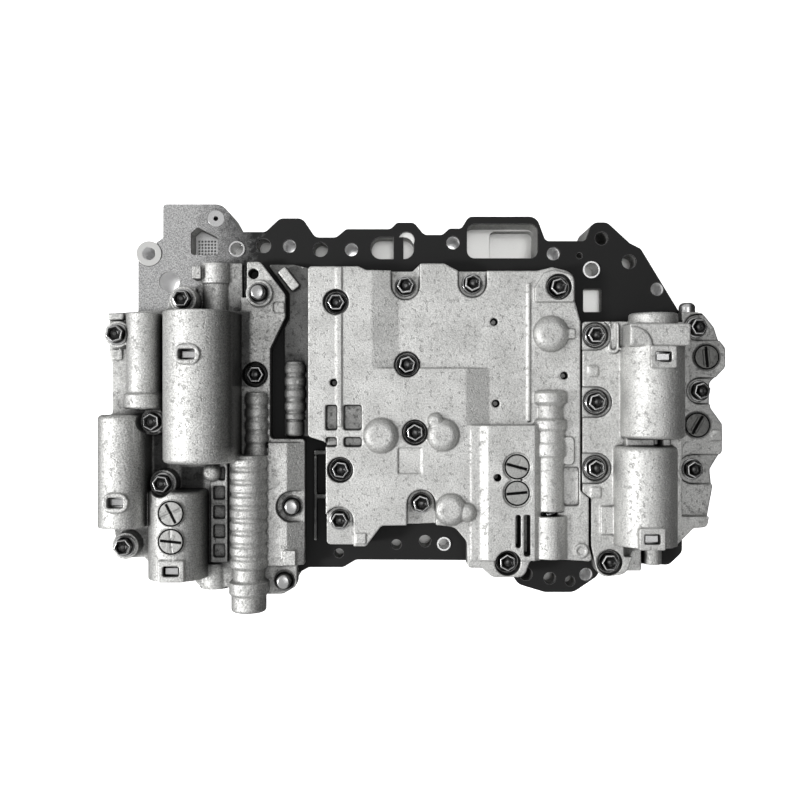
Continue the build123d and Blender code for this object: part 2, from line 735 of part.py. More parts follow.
def ramp_cut(x_high, x_low, y_low, y_high):
    """Lowers the deck to the right of a gentle slope."""
    far_x = 110.0
    over = centre_deck_top + 10
    with BuildPart() as cut:
        with BuildSketch(Plane.XZ.offset(-y_high)):
            with BuildLine():
                Polyline((x_high, centre_deck_top), (x_low, low_deck_top), (far_x, low_deck_top),
                         (far_x, over), (x_high, over), close=True)
            make_face()
        extrude(amount=y_high - y_low)
    return cut.part


def prism_along_y(corners, y_low, y_high):
    """A shape of constant (x, z) section between two places along Y."""
    with BuildPart() as prism:
        with BuildSketch(Plane.XZ.offset(-y_high)):
            with BuildLine():
                Polyline(*corners, close=True)
            make_face()
        extrude(amount=y_high - y_low)
    return prism.part


# Lower casting, under the plate
with BuildPart() as lower_body:
    add(slab(plate_outline, 0, lower_height))
    add(posts(edge_bosses, edge_boss_radius, 0, lower_height))
    add(post(*case_boss_place, case_boss_radius, 0, plate_top + case_boss_rise))
    add(posts([case_boss_place, *case_bolt_places], case_bolt_radius, -1, plate_top + 2),
        mode=Mode.SUBTRACT)
    add(post(*drain_hole_place, drain_hole_radius, -1, plate_top), mode=Mode.SUBTRACT)
    for x, y, radius in port_places:
        add(post(x, y, radius, lower_height - port_depth, plate_top), mode=Mode.SUBTRACT)
    add(pad(*inlet_centre, inlet_length, inlet_width, inlet_step_floor, plate_top, inlet_corner),
        mode=Mode.SUBTRACT)
    add(pad(inlet_centre[0] + inlet_step_length / 2, inlet_centre[1], inlet_length - inlet_step_length,
            inlet_width - 2, inlet_floor, inlet_step_floor + 1, inlet_corner - 1), mode=Mode.SUBTRACT)
    add(slab(strainer_window, strainer_pocket_floor, lower_height), mode=Mode.SUBTRACT)
    add(pad(*oval_centre, oval_length, oval_width, oval_floor, plate_top, oval_width / 2 - 0.5),
        mode=Mode.SUBTRACT)
    add(pad(*feed_centre, feed_length, feed_width, feed_floor, plate_top, 1.0), mode=Mode.SUBTRACT)
    for x, y, outer, inner in dowels:
        add(post(x, y, outer + dowel_clearance, dowel_foot, plate_top), mode=Mode.SUBTRACT)
    add(post(*orifice_place, orifice_plug_radius + dowel_clearance, orifice_plug_foot, plate_top),
        mode=Mode.SUBTRACT)
    add(post(*orifice_place, orifice_radius, -1, plate_top), mode=Mode.SUBTRACT)
    add(posts(ball_places, ball_radius + ball_play, lower_height - ball_pocket_depth, plate_top),
        mode=Mode.SUBTRACT)
    all_bolts = [*left_bolt_places, left_deep_bolt, *[(x, y) for x, y, _ in round_bolts],
                 *centre_pit_places, *[(x, y) for x, y, _ in centre_open_pits], *centre_edge_bolts,
                 *right_pit_places, right_front_bolt, *right_edge_bolts]
    add(posts(all_bolts, bolt_thread_radius, bolt_tip_height - bolt_hole_run_out, plate_top),
        mode=Mode.SUBTRACT)
    for train in spool_trains.values():
        if train["up"]:
            bore_plane = spool_plane(train)
            add(mouth_bore(bore_plane, train["bore"], train["length"] + 5), mode=Mode.SUBTRACT)
            add(captured_slot(bore_plane, train["bore"], train["key"], lower_height), mode=Mode.SUBTRACT)
    manual_plane = Plane(origin=manual_valve_floor, x_dir=(0, 0, 1), z_dir=(1, 0, 0))
    add(pushed_along(manual_plane, manual_bore_radius, 0, manual_bore_length + 5), mode=Mode.SUBTRACT)
    with BuildSketch(Plane.XY):
        for run in track_runs:
            with BuildLine() as path:
                Polyline(*run)
            trace(path.line, line_width=track_width)
    extrude(amount=track_depth, mode=Mode.SUBTRACT)
lower_body.part.label = "lower_body"
export_step(lower_body.part, "parts/lower_body.step")

# Separator plate, stamped and coated, with every port open through it
with BuildPart() as separator_plate:
    add(slab(plate_outline, lower_height, plate_thickness))
    add(posts(edge_bosses, edge_boss_radius, lower_height, plate_top))
    add(post(*case_boss_place, case_boss_radius + end_clearance, 0, plate_top + 2), mode=Mode.SUBTRACT)
    add(posts(case_bolt_places, case_bolt_radius, 0, plate_top + 2), mode=Mode.SUBTRACT)
    add(post(*drain_hole_place, drain_hole_radius, 0, plate_top + 2), mode=Mode.SUBTRACT)
    for x, y, radius in port_places:
        add(post(x, y, radius, 0, plate_top + 2), mode=Mode.SUBTRACT)
    add(pad(*inlet_centre, inlet_length, inlet_width, 0, plate_top + 2, inlet_corner), mode=Mode.SUBTRACT)
    add(slab(strainer_window, lower_height - 1, plate_thickness + 2), mode=Mode.SUBTRACT)
    with BuildSketch(Plane.XY.offset(plate_top)):
        with Locations(oval_centre):
            RectangleRounded(oval_length, oval_width, oval_width / 2 - 0.5)
        with Locations(oval_bulge):
            Circle(oval_bulge_radius)
        with Locations((oval_rib_x, oval_centre[1])):
            Rectangle(oval_rib_width, oval_width, mode=Mode.SUBTRACT)
    extrude(amount=-plate_thickness, mode=Mode.SUBTRACT)
    add(pad(*feed_centre, feed_length, feed_width, 0, plate_top + 2, 1.0), mode=Mode.SUBTRACT)
    for x, y, outer, inner in dowels:
        add(post(x, y, outer + dowel_clearance, 0, plate_top + 2), mode=Mode.SUBTRACT)
    add(post(*orifice_place, orifice_plug_radius + dowel_clearance, 0, plate_top + 2), mode=Mode.SUBTRACT)
    add(posts(all_bolts, bolt_hole_radius, 0, plate_top + 2), mode=Mode.SUBTRACT)
separator_plate.part.label = "separator_plate"
export_step(separator_plate.part, "parts/separator_plate.step")

# Left upper casting: four accumulator barrels, the ribbed regulator column and its pads
regulator = spool_trains["regulator_valve"]
regulator_x, regulator_floor_y, regulator_z = regulator["floor"]
column_end_y = regulator_floor_y - regulator["length"]
collar_y = column_end_y + column_end_length
column_skin = [(column_end_y, column_end_radius - column_chamfer)]
column_skin.append((column_end_y + column_chamfer, column_end_radius))
column_skin.append((collar_y, column_end_radius))
column_skin.append((collar_y + column_chamfer, column_collar_radius))
column_skin.append((collar_y + column_collar_length - column_chamfer, column_collar_radius))
column_skin.append((collar_y + column_collar_length, column_neck_radius))
column_skin.append((collar_y + column_collar_length + column_neck_length, column_neck_radius))
ribs_start_y = collar_y + column_collar_length + column_neck_length
column_skin += ribbed_profile(ribs_start_y, column_rib_step, column_rib_count,
                              column_rib_radius, column_groove_radius, column_rib_flank)

with BuildPart() as left_upper_body:
    add(slab(left_outline, plate_top, flange_thickness))
    add(pad(*neck_pit, neck_floor, flange_top + 2, window_corner), mode=Mode.SUBTRACT)
    neck_z = neck_top - neck_front_radius
    long_train = accumulators["long"]
    add([barrel(neck_x, neck_z, neck_front_radius, neck_step_y, neck_end_y, plate_top, 0),
         barrel(neck_x, neck_z, neck_rear_radius, long_train["open"] - 1, neck_step_y + 1, plate_top, 0),
         barrel(*front_stub, plate_top, 0)])
    for name in left_barrels:
        train = accumulators[name]
        add(barrel(train["x"], train["z"], train["radius"], train["closed"], train["open"],
                   plate_top, barrel_rounding))
        if train["from_top"]:
            add(window_pad(train, name == "dial"))
    slim = accumulators["slim"]
    add(turned(slim["x"], slim["z"],
               [(slim["closed"] + along, slim["radius"] + rise) for along, rise in slim_collar]))
    add(turned(regulator_x, regulator_z, column_skin))
    ribs_length = column_skin[-1][0] - ribs_start_y
    add(pad(regulator_x, ribs_start_y + ribs_length / 2, 2 * column_groove_radius - 1, ribs_length,
            plate_top, regulator_z))
    x, z, first_y, count, step, radius = left_small_column
    small_skin = ribbed_profile(first_y, step, count, radius, radius - small_groove_depth, column_rib_flank)
    add(turned(x, z, small_skin))
    add(prism_along_y([(left_strip_edge[0], plate_top), (left_strip_edge[0], left_strip_top),
                       (left_strip_edge[1], left_strip_top), (left_strip_edge[2], flange_top),
                       (left_strip_edge[2], plate_top)], *left_strip_ends))
    ladder_y = ladder_first_y - ladder_step * (ladder_count - 1) / 2
    add(pad(ladder_centre_x, ladder_y, ladder_width, ladder_step * ladder_count + 2, plate_top, ladder_top))
    add([pad(ladder_centre_x, ladder_first_y - step * ladder_step, *ladder_pocket,
             ladder_top - ladder_pocket_depth, ladder_top + 1) for step in range(ladder_count)],
        mode=Mode.SUBTRACT)
    add(dome(*ladder_lump, ladder_top - 1, ladder_lump_height + 1))
    add([pad(*rear_edge_pad, plate_top, flange_top + rear_edge_pad_rise),
         pad(*neck_block, plate_top, flange_top),
         pad(*long_fin, plate_top, flange_top + long_fin_rise, thin_corner)])
    add(posts(left_bolt_places, seat_cut_radius + boss_wall, plate_top, left_seat_top))
    for x, y, seat in round_bolts:
        if seat > flange_top:
            add(post(x, y, seat_cut_radius + boss_wall, plate_top, seat))
    add([pad(x, y, square_mark, square_mark, plate_top, flange_top + mark_rise) for x, y in left_marks])
    add(pad(*strip_lug, plate_top, left_strip_top + strip_lug_rise))
    dial_train = accumulators["dial"]
    dial_top = dial_train["z"] + dial_train["radius"] + date_dial_rise
    add([date_dial(x, y, turn, dial_train["z"], dial_top) for x, y, turn in left_dials])
    strip_bolt_x, strip_bolt_y, strip_seat = round_bolts[1]
    left_cuts = [bolt_cuts(left_bolt_places, left_seat_top), bolt_cuts([left_deep_bolt], left_deep_seat)]
    left_cuts += [bolt_cuts([(x, y)], seat) for x, y, seat in round_bolts]
    left_cuts.append(u_recess(strip_bolt_x, strip_bolt_y, strip_recess_radius, 2 * strip_recess_radius, 0,
                              strip_seat, left_strip_top + 2))
    left_cuts.append(post(*left_flat_hole, flange_top - blind_hole_depth, flange_top + 2))
    for name in left_barrels:
        train = accumulators[name]
        bore_plane = accumulator_plane(train)
        left_cuts.append(mouth_bore(bore_plane, train["bore"], accumulator_length(train)))
        if train["from_top"]:
            left_cuts.append(window(train, train["z"] + train["radius"] + 2))
        else:
            left_cuts.append(captured_slot(bore_plane, train["bore"], accumulator_key(train),
                                           train["z"] - plate_top + 1))
    regulator_plane = spool_plane(regulator)
    left_cuts.append(mouth_bore(regulator_plane, regulator["bore"], regulator["length"]))
    left_cuts.append(captured_slot(regulator_plane, regulator["bore"], regulator["key"],
                                   regulator_z - plate_top + 1))
    add(left_cuts, mode=Mode.SUBTRACT)
left_upper_body.part.label = "left_upper_body"
export_step(left_upper_body.part, "parts/left_upper_body.step")

# Centre upper casting: the deck with its recessed bolts, domes and the relay valve column
relay = spool_trains["relay_valve"]
relay_x, relay_floor_y, relay_z = relay["floor"]
relay_mouth_y = relay_floor_y - relay["length"]
centre_bolt_places = [*centre_pit_places, *[(x, y) for x, y, _ in centre_open_pits], *centre_edge_bolts]
block_corners = [(block_skin[0][0], centre_deck_top - 1)]
block_corners += [(x, centre_deck_top + rise) for x, rise in block_skin]
block_corners.append((block_fill_x, low_deck_top + block_fill_rise))
block_corners.append((block_fill_x, low_deck_top - 1))
block_corners.append((block_right - 1, low_deck_top - 1))
block_corners.append((block_right - 1, centre_deck_top - 1))
column_x, column_z, first_y, count, step, radius = centre_small_column
centre_column_skin = [*centre_column_nubs]
centre_column_skin += ribbed_profile(first_y, step, count, radius, radius - small_groove_depth, column_rib_flank)

with BuildPart() as centre_upper_body:
    add(slab(centre_outline, plate_top, centre_deck_height))
    add(slab(centre_skirt, plate_top, centre_skirt_height))
    add([ramp_cut(x_high, x_low, y_low, y_high) for x_high, x_low, y_low, y_high in ramps], mode=Mode.SUBTRACT)
    add(pad(*block_side, low_deck_top, centre_deck_top + 5, thin_corner), mode=Mode.SUBTRACT)
    add(prism_along_y(block_corners, *block_ends))
    add([dome(x, y, radius, centre_deck_top - 1, height + 1) for x, y, radius, height in centre_domes])
    x, y, radius, height = corner_dome
    add(dome(x, y, radius, low_deck_top - 1, height + 1))
    add(pad(*dome_stub, plate_top, low_deck_top + dome_stub_rise))
    add([slab(corner_pad, plate_top, low_deck_top + corner_pad_rise - plate_top),
         pad(*deck_rib, centre_deck_top - 1, centre_deck_top + rib_rise, thin_corner),
         pad(*second_rib, low_deck_top - 1, low_deck_top + rib_rise, thin_corner)])
    x, y, width, depth = skirt_tag
    with BuildSketch(Plane.XY.offset(plate_top)):
        with Locations(Location((x, y), skirt_tag_turn)):
            RectangleRounded(width, depth, window_corner)
    extrude(amount=centre_skirt_height + skirt_tag_rise)
    add([pad(*fin, plate_top, plate_top + side_fin_height, thin_corner) for fin in side_fins])
    add(turned(column_x, column_z, centre_column_skin))
    add(turned(relay_x, relay_z, relay_column))
    add(pad(*relay_foot, plate_top, relay_z))
    add(barrel(relay_x, relay_z, relay_mouth_radius, relay_mouth_y + relay_mouth_length, relay_mouth_y,
               plate_top, relay_mouth_rounding))
    add(posts(centre_edge_bolts, seat_cut_radius + edge_bolt_wall, plate_top, recessed_seat_top))
    add([post(*corner_disc, plate_top, low_deck_top + corner_disc_rise),
         pad(*centre_mark, square_mark, square_mark, plate_top, centre_deck_top + mark_rise),
         pad(*blank_tag, plate_top, low_deck_top + blank_tag_rise, blank_tag_corner)])
    block_top = centre_deck_top + block_rise
    add([post(x, y, date_dial_radius + 2 * date_dial_groove, centre_deck_top, block_top + 2)
         for x, y, turn in centre_dials], mode=Mode.SUBTRACT)
    centre_dial_top = block_top - centre_dial_drop
    add([date_dial(x, y, turn, centre_deck_top - 1, centre_dial_top) for x, y, turn in centre_dials])
    pocket_floor = centre_deck_top - centre_pocket_depth
    centre_cuts = [pad(*pocket, pocket_floor, centre_deck_top + 2, centre_pocket_corner)
                   for pocket in centre_pockets]
    centre_cuts.append(pad(*sunk_panel, centre_deck_top - sunk_depth, centre_deck_top + 2, thin_corner))
    centre_cuts += [pad(*slot, centre_deck_top - lightening_depth, block_top + 2, window_corner)
                    for slot in lightening_slots]
    centre_cuts.append(pad(*side_recess, low_deck_top - side_recess_depth, block_top + 2, side_recess_corner))
    centre_cuts.append(posts(centre_blind_holes, centre_blind_radius, centre_deck_top - blind_hole_depth,
                             block_top + 2))
    centre_cuts.append(post(corner_disc[0], corner_disc[1], corner_dimple_radius,
                            low_deck_top + corner_disc_rise - corner_dimple_depth, block_top + 2))
    centre_cuts.append(bolt_cuts(centre_bolt_places, recessed_seat_top))
    centre_cuts += [u_recess(x, y, open_pit_radius, 4 * open_pit_radius, turn, recessed_seat_top, block_top + 5)
                    for x, y, turn in centre_open_pits]
    relay_plane = spool_plane(relay)
    centre_cuts.append(mouth_bore(relay_plane, relay["bore"], relay["length"]))
    centre_cuts.append(captured_slot(relay_plane, relay["bore"], relay["key"], relay_z - plate_top + 1))
    add(centre_cuts, mode=Mode.SUBTRACT)
centre_upper_body.part.label = "centre_upper_body"
export_step(centre_upper_body.part, "parts/centre_upper_body.step")

pressure_plane = Plane(origin=(pressure_plug_place[0], pressure_plug_face, pressure_plug_place[1]),
                       x_dir=(1, 0, 0), z_dir=(0, 1, 0))

# Right upper casting: two accumulator barrels over a flat deck and its stepped edge
with BuildPart() as right_upper_body:
    add(slab(right_outline, plate_top, right_deck_height))
    add(pad(*right_step, right_step_top, right_deck_top + 1, thin_corner), mode=Mode.SUBTRACT)
    front = accumulators["front"]
    rear = accumulators["rear"]
    front_block_start = front["open"] - front_collar_length - front_block_length
    front_block_middle = front_block_start + front_block_length / 2
    add(barrel(front["x"], front["z"], front["radius"], front["closed"], front_block_start, plate_top,
               barrel_rounding))
    add(pad(front["x"], front_block_middle, front_block_width, front_block_length, plate_top,
            front_block_top, window_corner))
    with BuildSketch(Plane.XY.offset(front_block_top)):
        with Locations(front_arch_place):
            Circle(front_arch_radius)
        with Locations((front["x"], front_block_middle)):
            Rectangle(front_block_width - 1, front_block_length - 1, mode=Mode.INTERSECT)
    extrude(amount=front_arch_rise)
    add(turned(front["x"], front["z"], [(front_block_start, front_collar_radius),
                                        (front["open"] - front_collar_chamfer, front_collar_radius),
                                        (front["open"], front_collar_radius - front_collar_chamfer)]))
    add(barrel(rear["x"], rear["z"], rear["radius"], rear["closed"], rear["open"], plate_top,
               barrel_rounding))
    add([window_pad(train, True) for train in (front, rear)])
    add([pad(*bridge, plate_top, bridge_top, window_corner),
         pad(*barrel_web, plate_top, barrel_web_top, window_corner)])
    add([pad(*rear_foot, plate_top, rear_foot_top, window_corner),
         barrel(*rear_stub, plate_top, 0)])
    add(pad(*right_channel, plate_top, right_deck_top + right_channel_rise, right_channel_corner))
    add(pad(*right_channel_groove, right_deck_top - right_channel_depth, right_deck_top + 3, window_corner),
        mode=Mode.SUBTRACT)
    add([pad(x, y, square_mark, square_mark, plate_top, right_deck_top + mark_rise)
         for x, y in right_deck_marks])
    add([pad(*right_step_mark, square_mark, square_mark, plate_top, right_step_top + mark_rise),
         pad(*right_block, plate_top, right_deck_top + right_channel_rise)])
    add([date_dial(x, y, turn, flange_top - right_dial_foot, right_step_top + right_dial_rise, wide_slot_width,
                   wide_slot_ridge) for x, y, turn in right_dials])
    add(pad(*pressure_boss, plate_top, right_step_top))
    right_cuts = [bolt_cuts(right_pit_places, recessed_seat_top)]
    right_cuts.append(bolt_cuts([right_front_bolt], right_front_seat))
    right_cuts.append(bolt_cuts(right_edge_bolts, right_edge_seat))
    right_cuts += [u_recess(x, y, right_pit_radius, 2 * right_pit_radius, 180,
                            recessed_seat_top + right_pit_step, right_deck_top + 5)
                   for x, y in right_pit_places]
    right_cuts += [u_recess(x, y, radius, 3 * radius, 0, right_edge_seat, right_deck_top + 5)
                   for x, y, radius in right_edge_recesses]
    right_cuts.append(pushed_along(pressure_plane, pressure_plug_shank + plug_clearance,
                                   -pressure_plug_shank_length - end_clearance, pressure_plug_shank_length + 1))
    for name in right_barrels:
        train = accumulators[name]
        right_cuts.append(mouth_bore(accumulator_plane(train), train["bore"],
                                     accumulator_length(train) + right_mouth_run_out))
        right_cuts.append(window(train, train["z"] + train["radius"] + 2))
    add(right_cuts, mode=Mode.SUBTRACT)
right_upper_body.part.label = "right_upper_body"
export_step(right_upper_body.part, "parts/right_upper_body.step")


def flange_bolt(seat, round_top):
    """One flange bolt standing at the origin, its washer face on the seat height."""
    half = bolt_hexagon_width / 2
    top = seat + bolt_head_height
    with BuildPart() as bolt:
        with BuildSketch(Plane.XY.offset(seat)):
            if round_top:
                Circle(half)
            else:
                RegularPolygon(half, 6, major_radius=False)
        extrude(amount=bolt_head_height)
        if round_top:
            fillet(bolt.edges().group_by(Axis.Z)[-1], bolt_crown_rounding)
        else:
            with BuildSketch(Plane.XZ):
                with BuildLine():
                    Polyline((0, seat), (bolt_flange_radius, seat),
                             (bolt_flange_radius, top - bolt_head_chamfer), (half, top), (0, top), close=True)
                make_face()
            revolve(axis=Axis.Z, mode=Mode.INTERSECT)
            add(post(0, 0, bolt_indent_radius, top - bolt_indent_depth, top + 1), mode=Mode.SUBTRACT)
        with BuildSketch(Plane.XZ):
            with BuildLine():
                Polyline((0, seat), (bolt_flange_radius, seat),
                         (bolt_flange_radius, seat + bolt_flange_thickness / 2),
                         (half, seat + bolt_flange_thickness + bolt_flange_slope),
                         (0, seat + bolt_flange_thickness + bolt_flange_slope), close=True)
            make_face()
        revolve(axis=Axis.Z)
        add(post(0, 0, bolt_shank_radius, bolt_tip_height, seat + 1))
        chamfer(bolt.edges().group_by(Axis.Z)[0], bolt_tip_chamfer)
    return bolt.part


def bolt_set(places, seat, round_top=False):
    """Flange bolts of one seat height, each turned a little further than the last."""
    spots = [Location((x, y), bolt_turn * number) for number, (x, y) in enumerate(places)]
    bolt = flange_bolt(seat, round_top)
    with BuildPart() as bolts:
        with Locations(*spots):
            add(bolt)
    return bolts.part


# Flange bolts of the left casting
with BuildPart() as left_bolts:
    add(bolt_set(left_bolt_places, left_seat_top))
    add(bolt_set([left_deep_bolt], left_deep_seat))
left_bolts.part.label = "left_bolts"
export_step(left_bolts.part, "parts/left_bolts.step")

# Round-topped bolts of the left casting
with BuildPart() as round_top_bolts:
    for x, y, seat in round_bolts:
        add(bolt_set([(x, y)], seat, round_top=True))
round_top_bolts.part.label = "round_top_bolts"
export_step(round_top_bolts.part, "parts/round_top_bolts.step")

# Flange bolts of the centre casting
with BuildPart() as centre_bolts:
    add(bolt_set(centre_bolt_places, recessed_seat_top))
centre_bolts.part.label = "centre_bolts"
export_step(centre_bolts.part, "parts/centre_bolts.step")

# Flange bolts of the right casting
with BuildPart() as right_bolts:
    add(bolt_set(right_pit_places, recessed_seat_top))
    add(bolt_set([right_front_bolt], right_front_seat))
    add(bolt_set(right_edge_bolts, right_edge_seat))
right_bolts.part.label = "right_bolts"
export_step(right_bolts.part, "parts/right_bolts.step")

# Hollow dowels between the lower casting and the plate
with BuildPart() as hollow_dowels:
    for x, y, outer, inner in dowels:
        add(post(x, y, outer, dowel_foot, plate_top + dowel_rise))
        add(post(x, y, inner, dowel_foot - 1, plate_top + dowel_rise + 1), mode=Mode.SUBTRACT)
hollow_dowels.part.label = "hollow_dowels"
export_step(hollow_dowels.part, "parts/hollow_dowels.step")

# Orifice plug, flush with the plate
with BuildPart() as orifice_plug:
    add(post(*orifice_place, orifice_plug_radius, orifice_plug_foot, plate_top))
    add(post(*orifice_place, orifice_radius, orifice_plug_foot - 1, plate_top + 1), mode=Mode.SUBTRACT)
orifice_plug.part.label = "orifice_plug"
export_step(orifice_plug.part, "parts/orifice_plug.step")

# Check balls resting in their pockets under the plate
with BuildPart() as check_balls:
    with Locations(*[(x, y, lower_height - ball_pocket_depth + ball_radius) for x, y in ball_places]):
        Sphere(ball_radius)
check_balls.part.label = "check_balls"
export_step(check_balls.part, "parts/check_balls.step")

# Strainer, a drawn screen standing in its pocket
with BuildPart() as strainer_screen:
    for inset, height in [(strainer_play, strainer_height), (strainer_play + strainer_wall, 0)]:
        with BuildSketch(Plane.XY.offset(strainer_pocket_floor)):
            with BuildLine():
                rounded_outline(strainer_window)
            make_face()
            offset(amount=-inset, kind=Kind.INTERSECTION)
        if height:
            extrude(amount=height)
        else:
            extrude(amount=strainer_height - strainer_wall, mode=Mode.SUBTRACT)
    with BuildSketch(Plane.XY.offset(strainer_pocket_floor)):
        with Locations(strainer_mesh_middle):
            with GridLocations(strainer_pitch, strainer_pitch, strainer_columns, strainer_rows):
                Circle(strainer_hole_radius)
    extrude(amount=2 * strainer_height, mode=Mode.SUBTRACT)
strainer_screen.part.label = "strainer_screen"
export_step(strainer_screen.part, "parts/strainer_screen.step")

# Pressure plug on the rear edge of the right casting
with BuildPart() as pressure_plug:
    add(pushed_along(pressure_plane, pressure_plug_radius, 0, pressure_plug_length))
    fillet(pressure_plug.edges().group_by(Axis.Y)[-1], pressure_plug_rounding)
    add(pushed_along(pressure_plane, pressure_plug_shank, -pressure_plug_shank_length,
                     pressure_plug_shank_length))
pressure_plug.part.label = "pressure_plug"
export_step(pressure_plug.part, "parts/pressure_plug.step")

# Keys dropped in through the windows of the accumulator barrels
with BuildPart() as window_keys:
    for train in accumulators.values():
        if train["from_top"]:
            low = train["bore"] - key_slot_depth
            high = train["radius"] - train["key_sink"]
            toward = 1 if train["open"] > train["closed"] else -1
            add(blade_across(accumulator_plane(train), accumulator_key(train), key_thickness, window_key_width,
                             low, high, toward * train["window_shift"]))
window_keys.part.label = "window_keys"
export_step(window_keys.part, "parts/window_keys.step")

# Keys held in their slots by the plate
with BuildPart() as captured_keys:
    for train in accumulators.values():
        if not train["from_top"]:
            low = train["bore"] - key_slot_depth
            high = train["z"] - plate_top - end_clearance
            add(blade_across(accumulator_plane(train), accumulator_key(train), key_thickness,
                             captured_key_width, low, high))
    for train in spool_trains.values():
        low = train["bore"] - key_slot_depth
        height = train["floor"][2]
        joint_face = lower_height - height if train["up"] else height - plate_top
        add(blade_across(spool_plane(train), train["key"], key_thickness, captured_key_width, low,
                         joint_face - end_clearance))
captured_keys.part.label = "captured_keys"
export_step(captured_keys.part, "parts/captured_keys.step")


def ring_starts():
    """Where each sealing ring groove of a piston starts, from its crown face."""
    return [ring_edge + number * (ring_groove_width + ring_edge) for number in range(ring_count)]


# Accumulators, each a cup piston with two sealing rings, a coil and an end plug
for name, train in accumulators.items():
    bore_plane = accumulator_plane(train)
    bore = train["bore"]
    key = accumulator_key(train)
    piston_radius = bore - running_clearance
    groove_radius = piston_radius - ring_groove_depth
    cup_radius = train["coil"] + train["wire"] + spring_side_clearance
    with BuildPart() as piston:
        add(pushed_along(bore_plane, piston_radius, end_clearance, train["piston"]))
        add(pushed_along(bore_plane, cup_radius, end_clearance + crown_thickness, train["piston"]),
            mode=Mode.SUBTRACT)
        for start in ring_starts():
            add(collar_along(bore_plane, bore + 1, groove_radius, end_clearance + start, ring_groove_width),
                mode=Mode.SUBTRACT)
    piston.part.label = name + "_piston"
    export_step(piston.part, "parts/" + name + "_piston.step")
    with BuildPart() as rings:
        for start in ring_starts():
            add(collar_along(bore_plane, bore - ring_bore_clearance, groove_radius + ring_side_clearance,
                             end_clearance + start + ring_side_clearance,
                             ring_groove_width - 2 * ring_side_clearance))
    rings.part.label = name + "_rings"
    export_step(rings.part, "parts/" + name + "_rings.step")
    coil_start = end_clearance + crown_thickness
    spring = coil_spring(bore_plane, train["coil"], train["wire"], train["turns"], coil_start,
                         plug_start(key) - coil_start)
    spring.label = name + "_spring"
    export_step(spring, "parts/" + name + "_spring.step")
    plug = end_plug(bore_plane, bore, key, accumulator_length(train))
    plug.label = name + "_plug"
    export_step(plug, "parts/" + name + "_plug.step")


def spool(plane, radius, start, length, lands):
    """A turned spool of even lands on a thinner stem."""
    step = (length - spool_land_length) / (lands - 1)
    with BuildPart() as turned_spool:
        add(pushed_along(plane, radius * spool_neck_share, start, length))
        for land in range(lands):
            add(pushed_along(plane, radius, start + land * step, spool_land_length))
    return turned_spool.part


# Spool valves, each with its coil and end plug
for name, train in spool_trains.items():
    bore_plane = spool_plane(train)
    valve = spool(bore_plane, train["bore"] - running_clearance, end_clearance, train["spool"],
                  spool_land_count)
    valve.label = name
    export_step(valve, "parts/" + name + ".step")
    coil_start = end_clearance + train["spool"]
    spring = coil_spring(bore_plane, train["coil"], train["wire"], train["turns"], coil_start,
                         plug_start(train["key"]) - coil_start)
    spring.label = name + "_spring"
    export_step(spring, "parts/" + name + "_spring.step")
    plug = end_plug(bore_plane, train["bore"], train["key"], train["length"])
    plug.label = name + "_plug"
    export_step(plug, "parts/" + name + "_plug.step")

# Manual valve, pulled by the shift linkage at its grooved end
manual_radius = manual_bore_radius - running_clearance
manual_length = manual_bore_length + manual_valve_reach - end_clearance
with BuildPart() as manual_valve:
    add(spool(manual_plane, manual_radius, end_clearance, manual_length, manual_land_count))
    add(pushed_along(manual_plane, manual_radius, manual_length - manual_tail, manual_tail))
    groove_start = manual_length - manual_tail_groove
    add(collar_along(manual_plane, manual_bore_radius + 1, manual_radius - manual_groove_depth, groove_start,
                     manual_groove_width), mode=Mode.SUBTRACT)
manual_valve.part.label = "manual_valve"
export_step(manual_valve.part, "parts/manual_valve.step")
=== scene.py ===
import bpy
import bmesh
from math import atan2, cos, pi, radians, sin
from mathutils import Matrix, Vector


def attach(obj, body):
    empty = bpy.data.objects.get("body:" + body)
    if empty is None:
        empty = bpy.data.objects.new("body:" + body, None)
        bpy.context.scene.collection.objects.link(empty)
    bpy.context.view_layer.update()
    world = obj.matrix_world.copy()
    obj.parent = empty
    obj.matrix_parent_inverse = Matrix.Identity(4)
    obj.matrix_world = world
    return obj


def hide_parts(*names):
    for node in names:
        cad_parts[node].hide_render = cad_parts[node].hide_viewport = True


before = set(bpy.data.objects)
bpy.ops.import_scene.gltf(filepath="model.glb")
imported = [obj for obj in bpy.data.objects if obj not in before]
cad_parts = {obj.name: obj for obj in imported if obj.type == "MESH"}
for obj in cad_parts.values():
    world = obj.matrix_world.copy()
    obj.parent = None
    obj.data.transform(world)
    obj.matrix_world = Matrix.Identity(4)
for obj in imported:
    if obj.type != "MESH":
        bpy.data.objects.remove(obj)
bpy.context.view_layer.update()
scene = bpy.context.scene

# Springs: hard drawn wire, coiled and oiled, grey with a soft shine.
# Each stands in its bore between a piston or spool and the end plug.
accumulators = ("long", "slim", "corner", "dial", "front", "rear")
sprung_valves = ("regulator_valve", "relay_valve", "first_shift_valve", "second_shift_valve",
                 "third_shift_valve")


def linear(code):
    """An sRGB hex colour as the linear RGBA the shaders use."""
    parts = [int(code[i:i + 2], 16) / 255 for i in (1, 3, 5)]
    return tuple(p / 12.92 if p <= 0.04045 else ((p + 0.055) / 1.055) ** 2.4 for p in parts) + (1.0,)


def add_node(tree, kind, inputs=None, **settings):
    """Adds a node; inputs are constants, or sockets to link from, by name or number."""
    made = tree.nodes.new(kind)
    for name, value in settings.items():
        setattr(made, name, value)
    for name, value in (inputs or {}).items():
        if isinstance(value, bpy.types.NodeSocket):
            tree.links.new(value, made.inputs[name])
        else:
            made.inputs[name].default_value = value
    return made


def own_place(tree):
    """The place on the piece itself, in metres."""
    return add_node(tree, "ShaderNodeTexCoord").outputs["Object"]


